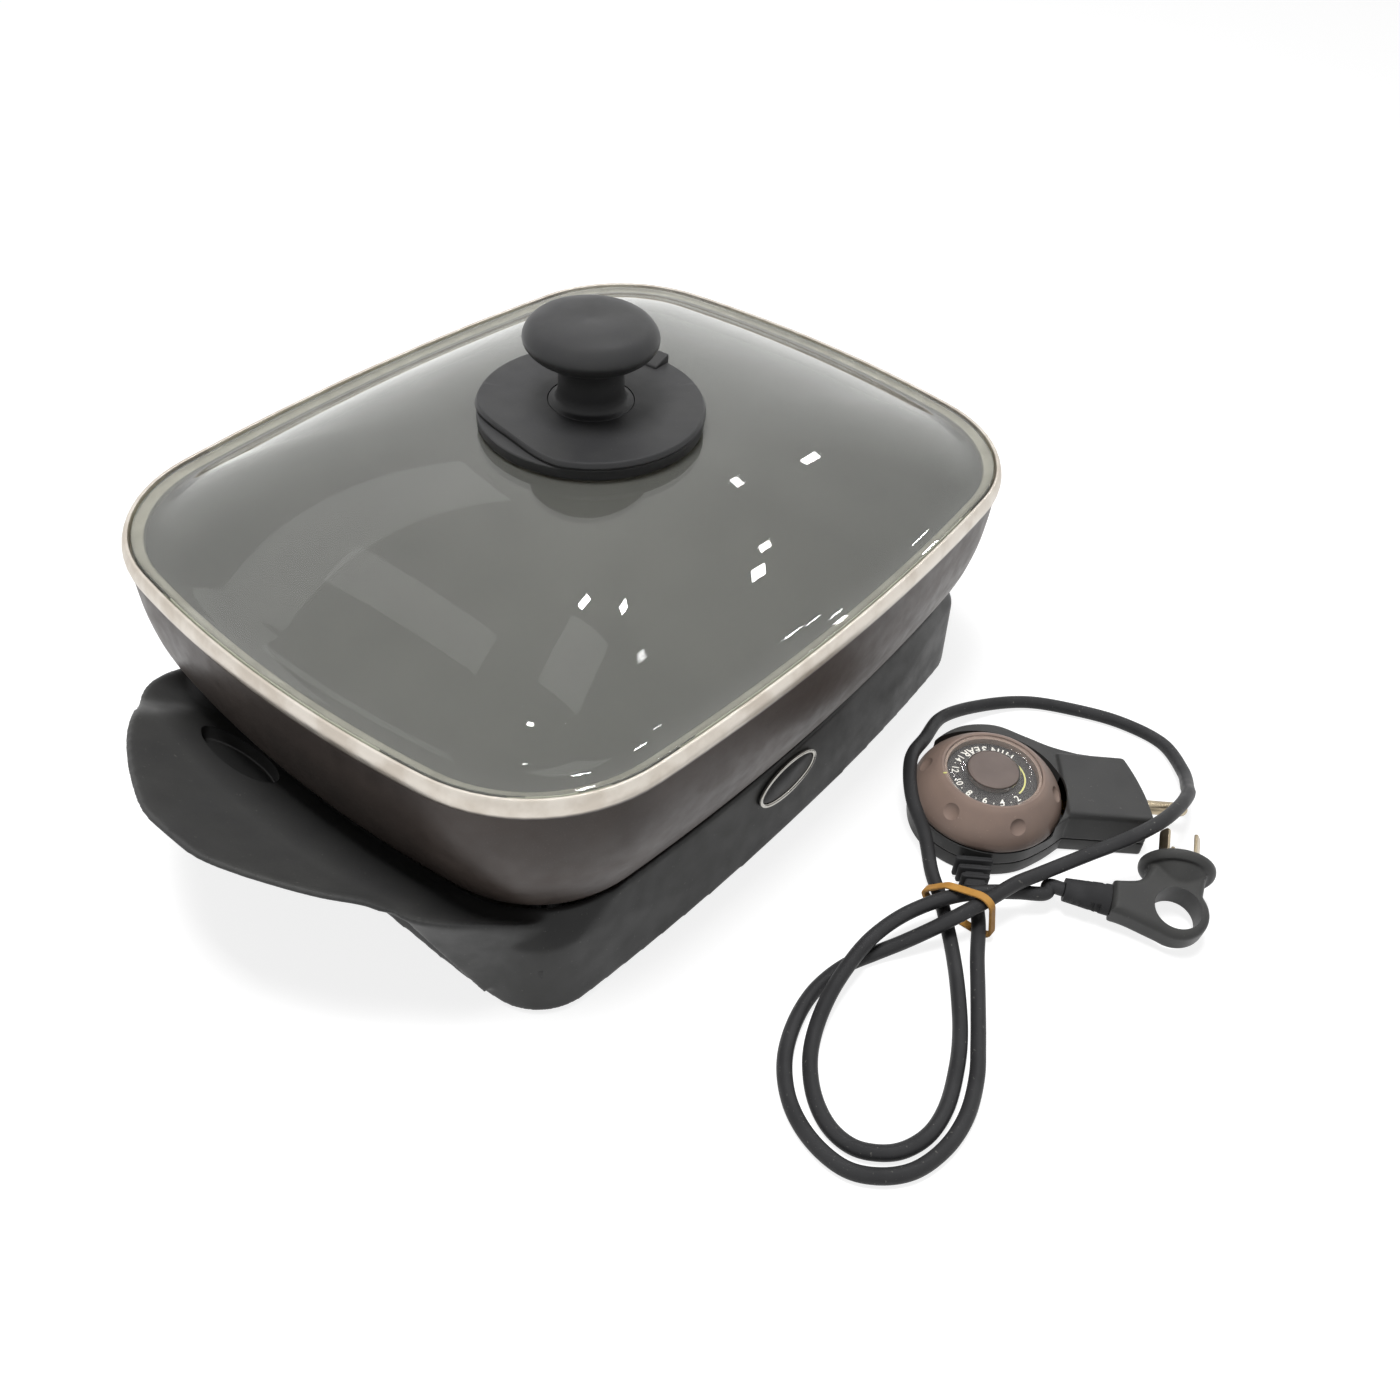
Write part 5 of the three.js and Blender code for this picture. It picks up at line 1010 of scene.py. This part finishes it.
def makeVentRing():
    low, high, wide, soft, bore = (knob[key] for key in ("ringLow", "ringHigh", "ring", "ringSoft", "ringBore"))
    section = [(bore, low), (wide - 0.5, low, 0.2), (wide, low + soft), (wide - soft, high),
               (wide * 0.62, high, 6), (bore, high + soft, 0.3)]
    ring = turnedPiece("ventRing", section, 0.8, atPan, 200)
    # the finger cut: a shallow wave in the rim
    still = wide * knob["cutFrom"]
    for vertex in ring.data.vertices:
        x, y = ((vertex.co - panMiddle) * 1000)[:2]
        away = abs((atan2(y, x) - knob["cutAngle"] + pi) % (2 * pi) - pi)
        out = hypot(x, y)
        if out > still and away < knob["cutHalf"]:
            depth = knob["cut"] * ((1 + cos(pi * away / knob["cutHalf"])) / 2) ** 0.7
            share = (out - still) / (wide - still) * depth / out
            vertex.co -= Vector((x, y, 0)) * share / 1000
    start, tall, half = wide - knob["tabLong"], knob["tabHigh"], knob["tabWide"] / 2
    outline = rounded([(start, -1), (wide, -1), (wide, tall, 1.5), (start, tall * 0.3, 3)], 0.5)
    place = (Matrix.Rotation(knob["tabAngle"], 4, "Z") @ Matrix.Translation((0, 0, high))
             @ Matrix.Rotation(pi / 2, 4, "X"))
    addParts(ring, [moved(softPrism(outline, -half, half, 0.8), place)], atPan)
    dressed(ring, "knobBlack", "vent", "vent_ring")


def makeKnob():
    bore, seal, screw = knob["bore"], knob["gasket"], knob["screw"]
    low, high = knob["gasketLow"], knob["gasketHigh"]
    gasket = turnedPiece("knobSeal", [(bore, low), (seal, low), (seal, high), (bore, high)], 0.5, atPan)
    dressed(gasket, "sealSilicone", "lid", "knob_gasket")

    low, high, wide = knob["discLow"], knob["discHigh"], knob["disc"]
    section = [(bore, low), (seal + 0.3, low), (seal + 1, low - 1.4), (wide * 0.98, low - 1.4),
               (wide, low - 0.56), (wide, high - 0.5, 0.3), (wide * 0.99, high, 0.3), (bore, high)]
    disc = turnedPiece("knobDisc", section, 0.9, atPan, 160)
    cutAway(disc, [ventHole(170, 200)], atPan)
    dressed(disc, "knobBlack", "lid", "knob_disc")
    makeVentRing()

    low, mid, top, wide, foot = high + 0.3, knob["ringHigh"], knob["stemTop"], knob["stem"], knob["stemFoot"]
    section = [(screw, low), (foot, low), (foot, mid + 0.9, 0.6), (wide * 1.08, mid + 2, 2), (wide, mid + 6, 4),
               (wide * 0.97, top - 6.75, 5), (wide * 1.06, top, 0.4), (screw, top)]
    stem = turnedPiece("knobStem", section, 0.4, atPan)
    dressed(stem, "knobBlack", "lid", "knob_stem")

    low, tall, wide, deep = knob["capLow"], knob["capHigh"], knob["cap"], knob["screwDeep"]
    crown = throughPoints([(r * wide, low + z * tall, 0) for r, z in knob["crown"]], 48)
    section = [(0, low + deep), (screw, low + deep), (screw, low)] + [(max(p.x, 0), p.y) for p in crown]
    cap = meshObject("knobCap", [lathe(section, closed=False)], atPan)
    dressed(cap, "knobBlack", "lid", "knob_cap")


makeKnob()
print("knob stacked")


# thermostat probe on the table: dial axis at its own origin, rod along +X
housing = {
    "radius": 38.5, "deck": 17, "wall": 2.2, "parting": 9, "rear": 26, "noseHalf": 22, "noseHigh": 28,
    "noseLong": 80.5, "bulge": 2, "slant": 4, "noseY": 5, "noseFace": 69.0, "corner": 2.5,
    # the round part's outline as shares of its radius
    "shares": [(1.3, 0.76), (0.95, 0.86), (0.62, 1.02), (0.2, 1.2), (-0.28, 1.12), (-0.68, 0.78),
               (-0.95, 0.33), (-1, -0.14), (-0.86, -0.55), (-0.55, -0.86), (-0.12, -1.01), (0.34, -0.95),
               (0.72, -0.72), (1.02, -0.46)],
}
dial = {
    "radius": 38.8, "low": 17.6, "high": 20, "rim": 2.2, "bore": 23.4, "window": 24.8, "windowThick": 1.4,
    "seat": 1.6, "dimple": 7.2, "dimpleDeep": 2.1, "dimpleCount": 6, "dimpleTurn": 0.8, "dimplePlace": 34.5,
    "dimpleHigh": 0.63, "scale": 23, "scaleThick": 1.4, "scaleDrop": 3.2, "post": 8, "postLow": 17.3,
    "cap": 13.2,
    # the ring's flank as shares of its radius and height
    "flank": ((1, 0.11), (0.985, 0.24), (0.945, 0.42), (0.885, 0.6), (0.81, 0.78), (0.735, 0.93)),
}


def roundLine(corners, steps):
    # smooth line through the corners, even steps
    known = [Vector(corners[0])] + [Vector(p) for p in corners] + [Vector(corners[-1])]
    line = []
    for i in range(steps + 1):
        along = i * (len(corners) - 1) / steps
        cell = min(int(along), len(corners) - 2)
        t = along - cell
        a, b, c, d = known[cell:cell + 4]
        bend, twist = a * 2 - b * 5 + c * 4 - d, b * 3 - a - c * 3 + d
        line.append((b * 2 + (c - a) * t + bend * t * t + twist * t ** 3) / 2)
    return [tuple(p) for p in line]


def noseEnd(inset, back=0.0, steps=12):
    end = []
    for i in range(steps + 1):
        t = -1 + 2 * i / steps
        x = housing["noseLong"] - inset - back - housing["bulge"] * t * t - housing["slant"] * t
        y = housing["noseY"] + (housing["noseHalf"] - inset) * t
        end.append((x, y, housing["corner"] if i in (0, steps) else 0))
    return end


def housingOutline(inset=0.0):
    around = []
    for sx, sy in housing["shares"]:
        p = Vector((sx, sy)) * housing["radius"]
        around.append(p - p.normalized() * inset)
    return rounded(noseEnd(inset) + [(x, y, 0) for x, y in roundLine(around, 96)], 0)


def noseOutline(inset=0.0):
    start, half = housing["radius"], housing["noseHalf"] - inset
    back = [(start, housing["noseY"] + half, 1), (start, housing["noseY"] - half, 1)]
    return rounded(back + noseEnd(inset), 0)


def mouthCuts(z, high):
    # openings for the rod's end wall and for the lead's relief
    deep, wide = 2 * (housing["noseLong"] - housing["noseFace"]), 2 * (housing["noseHalf"] - housing["wall"])
    nose = block((deep, wide, high), (housing["noseLong"], housing["noseY"], z), 0.8)
    size = (gland["wide"] * gland["core"] + 0.6, 6 * housing["wall"], gland["high"] * gland["core"] + 0.6)
    return [nose, block(size, (gland["x"], gland["face"], gland["z"]), 0.3)]


def makeShells():
    wall, deck, tall = housing["wall"], housing["deck"], housing["noseHigh"]
    lowerTop, upperLow = housing["parting"] - 0.15, housing["parting"] + 0.15
    tray = softPrism(housingOutline(), 0, lowerTop, wall * 0.8, edgeHigh=0.3)
    lower = meshObject("lowerShell", [tray], atProbe)
    cutAway(lower, [softPrism(housingOutline(wall), wall, lowerTop + 3, 0.6)], atProbe)
    cutAway(lower, mouthCuts(wall + tall / 2, tall), atProbe)
    dressed(lower, "satinBlack", "skillet", "probe_lower_shell")

    upper = meshObject("upperShell", [
        softPrism(housingOutline(), upperLow, deck, 0.3),
        softPrism(noseOutline(), upperLow, tall, 0.3, edgeHigh=wall * 0.9),
        softPrism(housingOutline(), deck - wall, housing["rear"], 0.3, edgeHigh=wall * 0.5),
    ], atProbe)
    smoothed(upper, fineVoxel, 2)
    pocket = softPrism(circle(dial["radius"] + 1.2, 160), deck, tall + 4, 0.8)
    inside = softPrism(housingOutline(wall), upperLow - 3, deck - wall, 0.6)
    noseRoom = softPrism(noseOutline(wall), upperLow - 3, tall - wall, 0.6)
    post = softPrism(circle(dial["post"] - wall, 64), upperLow - 1, deck + 2, 0.3)
    for cuts in ([pocket], [inside], [noseRoom], [post], mouthCuts(tall / 2 - wall, tall)):
        cutAway(upper, cuts, atProbe)
    dressed(upper, "satinBlack", "skillet", "probe_upper_shell")


makeShells()
print("probe shells made")


def makeRelief():
    # a soft core with ribs that get smaller outwards
    ribs, core, x, face, z = (gland[key] for key in ("ribs", "core", "x", "face", "z"))
    wide, high, pitch = gland["wide"], gland["high"], gland["long"] / ribs
    parts = []
    for i in range(ribs):
        share = 1 - i * (1 - core) / (ribs - 1) * 0.8
        size = (wide * share, pitch * gland["ribShare"], high * share)
        parts.append(block(size, (x, face - 0.6 - pitch * (i + gland["ribShare"] / 2), z), 0.7))
    start, end, collar = face + gland["inside"], face - gland["long"], gland["collar"]
    parts.append(block((wide * core, start - end, high * core), (x, (start + end) / 2, z), 1.2))
    parts.append(block((wide * 0.7, collar, high * 0.78), (x, start - collar / 2, z), 0.5))
    piece = meshObject("probeRelief", parts, atProbe)
    dressed(piece, "reliefRubber", "skillet", "probe_relief")


makeRelief()


def makeDial():
    low, wide, bore, window = dial["low"], dial["radius"], dial["bore"], dial["window"]
    top, seat = low + dial["high"], low + dial["high"] - dial["seat"]
    brim, lipOut = window * 1.065, window + 0.3
    flank = [(r * wide, low + z * dial["high"], 0) for r, z in dial["flank"]] + [(brim, top, 0)]
    section = rounded([(bore, low), (wide - 0.3, low), (wide, low + dial["rim"] * 0.4)], 0.4, closed=False)
    section += [(p.x, p.y) for p in throughPoints(flank, 36)]
    section += rounded([(brim, top), (lipOut, top), (lipOut, seat), (bore, seat), (bore, low)],
                       0.35, closed=False)[1:-1]
    ring = meshObject("dialRing", [lathe(section, 192)], atProbe)
    bowl, rise = dial["dimple"], (dial["dimple"] - dial["dimpleDeep"]) * 0.7071
    arc = [(bowl * sin(k * pi / 24), -bowl * cos(k * pi / 24)) for k in range(25)]
    out, up = dial["dimplePlace"] + rise, low + dial["high"] * dial["dimpleHigh"] + rise
    angles = [(i + dial["dimpleTurn"]) * 2 * pi / dial["dimpleCount"] for i in range(dial["dimpleCount"])]
    cutAway(ring, [moved(lathe(arc, 48, False), Matrix.Translation((out * cos(angle), out * sin(angle), up)))
                   for angle in angles], atProbe)
    dressed(ring, "dialTaupe", "dial", "dial_ring", 30)

    glassLow, inner = seat + 0.15, dial["cap"] + 0.6
    glassTop = glassLow + dial["windowThick"]
    section = [(inner, glassLow), (window, glassLow), (window, glassTop), (inner, glassTop)]
    glass = turnedPiece("dialWindow", section, 0.35, atProbe, 128)
    dressed(glass, "windowClear", "dial", "dial_window")
    glass.visible_shadow = False

    scaleTop = glassLow - dial["scaleDrop"]
    scaleLow, post, scale, cap = scaleTop - dial["scaleThick"], dial["post"], dial["scale"], dial["cap"]
    section = [(0, dial["postLow"]), (post, dial["postLow"]), (post, scaleLow), (scale, scaleLow),
               (scale, scaleTop), (0, scaleTop)]
    disc = turnedPiece("scaleDisc", section, 0.3, atProbe, closed=False)
    dressed(disc, "scaleDark", "skillet", "scale_disc")
    section = [(0, scaleTop + 0.3), (cap, scaleTop + 0.3), (cap, glassTop), (cap * 0.9, glassTop + 0.3),
               (0, glassTop + 0.3)]
    button = turnedPiece("centreCap", section, 0.4, atProbe, closed=False)
    dressed(button, "capTaupe", "skillet", "centre_cap")
    return scaleTop


scaleTop = makeDial()
print("dial made")

# print on the scale: figures read from outside, two words, and a pale arc where the dial is off
scaleMarks = {
    "radius": 18.9, "figure": 5.0, "word": 6.0, "start": 253, "step": 26.8, "pitch": 11.6, "thick": 0.08,
    "dot": 0.35, "figures": ("2", "4", "6", "8", "10", "12", "14"), "words": (("MIN", 13), ("SEAR", 59)),
    "arc": (-8, -96, 16.7, 17.5), "pointer": (138, 25.9), "pointerHalf": 1.1,
}


def textMesh(text, size):
    data = bpy.data.curves.new("figure", "FONT")
    data.body, data.size = text, size
    data.align_x, data.align_y = "CENTER", "CENTER"
    data.extrude, data.offset = scaleMarks["thick"] / 2, 0.06
    holder = addObject("figure", data)
    shape = bpy.data.meshes.new_from_object(holder.evaluated_get(bpy.context.evaluated_depsgraph_get()))
    part = ([v.co.copy() for v in shape.vertices], [tuple(f.vertices) for f in shape.polygons])
    bpy.data.objects.remove(holder)
    bpy.data.meshes.remove(shape)
    return part


def onScale(angle, radius, lift=0.05):
    turned = Matrix.Rotation(radians(angle) - probe["turn"], 4, "Z")
    return turned @ Matrix.Translation((radius, 0, scaleTop + lift)) @ Matrix.Rotation(pi / 2, 4, "Z")


def makeScaleMarks():
    radius, step, thick = scaleMarks["radius"], scaleMarks["step"], scaleMarks["thick"]
    parts = []
    for k, figure in enumerate(scaleMarks["figures"]):
        angle = scaleMarks["start"] - k * step
        parts.append(moved(textMesh(figure, scaleMarks["figure"]), onScale(angle, radius)))
        if k:
            dot = softPrism(circle(scaleMarks["dot"], 16), 0, thick, 0.02, 1)
            parts.append(moved(dot, onScale(angle + step / 2, radius + 0.6, 0.02)))
    for word, angle in scaleMarks["words"]:
        for k, letter in enumerate(word):
            lean = (k - (len(word) - 1) / 2) * scaleMarks["pitch"]
            parts.append(moved(textMesh(letter, scaleMarks["word"]), onScale(angle + lean, radius)))
    dressed(meshObject("scaleFigures", parts, atProbe), "printWhite", "skillet")
    first, last, inner, outer = scaleMarks["arc"]
    section = rounded([(inner, 0), (outer, 0), (outer, thick), (inner, thick)], 0.03, steps=1)
    rings = []
    for angle in [radians(blendOf(first, last, k / 48)) - probe["turn"] for k in range(49)]:
        rings.append([Vector((r * cos(angle), r * sin(angle), scaleTop + 0.02 + z)) for r, z in section])
    dressed(meshObject("scaleArc", [loft(rings)], atProbe), "printYellow", "skillet")
    angle, radius = scaleMarks["pointer"]
    place = (Matrix.Rotation(radians(angle) - probe["turn"], 4, "Z")
             @ Matrix.Translation((radius, 0, dial["low"] + dial["high"] - 0.1)))
    mark = moved(softPrism(circle(scaleMarks["pointerHalf"], 32, wide=0.5), 0, 0.3, 0.1, 2), place)
    dressed(meshObject("dialPointer", [mark], atProbe), "printYellow", "dial")


makeScaleMarks()

rod = {"start": 52.9, "end": 107.5, "radius": 3.7, "height": 14, "taper": 3.7}


def makeRod():
    start, end, wide = rod["start"], rod["end"], rod["radius"]
    section = [(0, start), (wide, start), (wide, end - rod["taper"], 2), (wide * 0.8, end - 1.3, 1.5),
               (wide * 0.4, end), (0, end)]
    place = atProbe @ Matrix.Translation((0, housing["noseY"], rod["height"])) @ Matrix.Rotation(pi / 2, 4, "Y")
    piece = turnedPiece("sensingRod", section, 0.4, place, 48, False)
    dressed(piece, "rodSteel", "skillet", "sensing_rod")


makeRod()
print("probe made")


# the plug's blades; each pin has a name, a place and a turn
blade = {"back": 0.3, "long": 17.3, "half": 3.15, "tip": 2.2, "halfThick": 0.8}
pins = (("left", 7.9, 5.15, 0.52), ("right", -7.9, 5.15, -0.52), ("earth", 0, -10.3, 0))


def makePlugBody():
    back, handle, half, wide = -plug["holeBack"], plug["handle"], plug["halfThick"], plug["neckHalf"]
    thick, neck, flange = plug["flangeThick"], plug["neck"], plug["flange"]
    angles = [pi * (0.86 + 0.86 * i / 32) for i in range(33)]
    outline = [(back + handle * cos(angle), handle * sin(angle), 0) for angle in angles]
    outline += [(-thick + 1, -handle * 0.86, 0.5), (-thick + 1, handle * 0.86, 3),
                (back + handle * 0.78, handle * 1.12, 6), (back + wide * 1.15, neck * 0.8, 5),
                (back + wide, neck, 0.6), (back - wide, neck, 0.6), (back - wide * 1.1, neck * 0.75, 5)]
    rim = rounded([(0, -thick), (flange * 0.9, -thick), (flange, -thick * 0.6), (flange, 0), (0, 0)],
                  0.9, closed=False)
    crown = rounded([(0, -thick * 2.6), (half, -thick * 2.6, 3), (flange * 0.8, -thick * 0.9),
                     (0, -thick * 0.9)], 0.5, closed=False)
    turnedX = [moved(lathe(section, 72, False), Matrix.Rotation(pi / 2, 4, "Y")) for section in (rim, crown)]
    flat = softPrism(rounded(outline, 0), -half, half, half * 0.45, 6)
    piece = meshObject("plugBody", [flat] + turnedX, atPlug)
    smoothed(piece, fineVoxel, 5)
    cutAway(piece, [softPrism(circle(plug["hole"], 96, back, 0), -half - 2, half + 2, 0.2)], atPlug)
    return dressed(piece, "satinBlack", "skillet", "plug_body", 50)


def makePlugRelief():
    back, half, wide, tip = -plug["holeBack"], plug["halfThick"], plug["neckHalf"], plug["tip"]
    start, length, slots = plug["neck"] + 0.3, plug["relief"], plug["slots"]
    rings = []
    for at in [k / 16 for k in range(17)]:
        share = 1 - plug["taper"] * at ** 1.2
        halfX, halfZ = max(wide * 0.95 * share, tip), max(half * 0.92 * share, tip * 0.98)
        rings.append([Vector((back + halfX * c, start + length * at, halfZ * s)) for c, s in unitCircle(48)])
    relief = meshObject("plugRelief", [loft(rings)], atPlug)
    for i in range(slots):
        for side in (-1, 1):
            out = side * (1 if i % 2 == 0 else -1) * (wide + lead["diameter"] / 5)
            y = start + length * (i + 0.7) / (slots + 0.6) + (0 if side > 0 else length / 12)
            cutAway(relief, [block((wide, plug["slotWide"], 4 * half), (back + out, y, 0), 0.3)], atPlug)
    return dressed(relief, "reliefRubber", "skillet", "plug_relief")


def makePin(name, y, z, turn):
    back, end, half, tip, thick = (blade[key] for key in ("back", "long", "half", "tip", "halfThick"))
    outline = rounded([(back, -half), (end, -half, tip), (end, half, tip), (back, half)], 0.2)
    place = Matrix.Translation((0, y, z)) @ Matrix.Rotation(turn + pi / 2, 4, "X")
    pin = meshObject("plugPin." + name, [moved(softPrism(outline, -thick, thick, 0.35), place)], atPlug)
    return dressed(pin, "rodSteel", "skillet", "plug_pin_" + name)


plugPieces = [makePlugBody(), makePlugRelief()] + [makePin(*pin) for pin in pins]
print("plug made")

# carried-over pieces: their own finishes
corners = ("front_left", "front_right", "back_left", "back_right")
plainFinishes = {
    "plateSteel": ["heating_element", "heat_shield", "thermostat_frame"]
                  + ["shell_screw_" + str(i) for i in (1, 2, 3)]
                  + ["clamp_screw_" + corner for corner in corners],
    "platedSteel": ["terminal_pin_left", "terminal_pin_right", "earth_blade", "knob_washer", "knob_screw"],
    "paleCeramic": ["terminal_block", "nose_wall", "blade_spacer"],
    "contactBrass": ["rod_collar", "contact_sleeve_near", "contact_sleeve_far", "contact_blade_fixed",
                     "contact_blade_moving"],
    "reliefRubber": ["foot_" + corner for corner in corners],
    "amberLens": ["signal_lamp"],
}
for name, nodes in plainFinishes.items():
    for node in nodes:
        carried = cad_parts[node]
        for i in range(max(1, len(carried.material_slots))):
            if not carried.material_slots:
                carried.data.materials.append(finishOf[name])
            carried.material_slots[i].material = finishOf[name]
print("carried pieces finished")
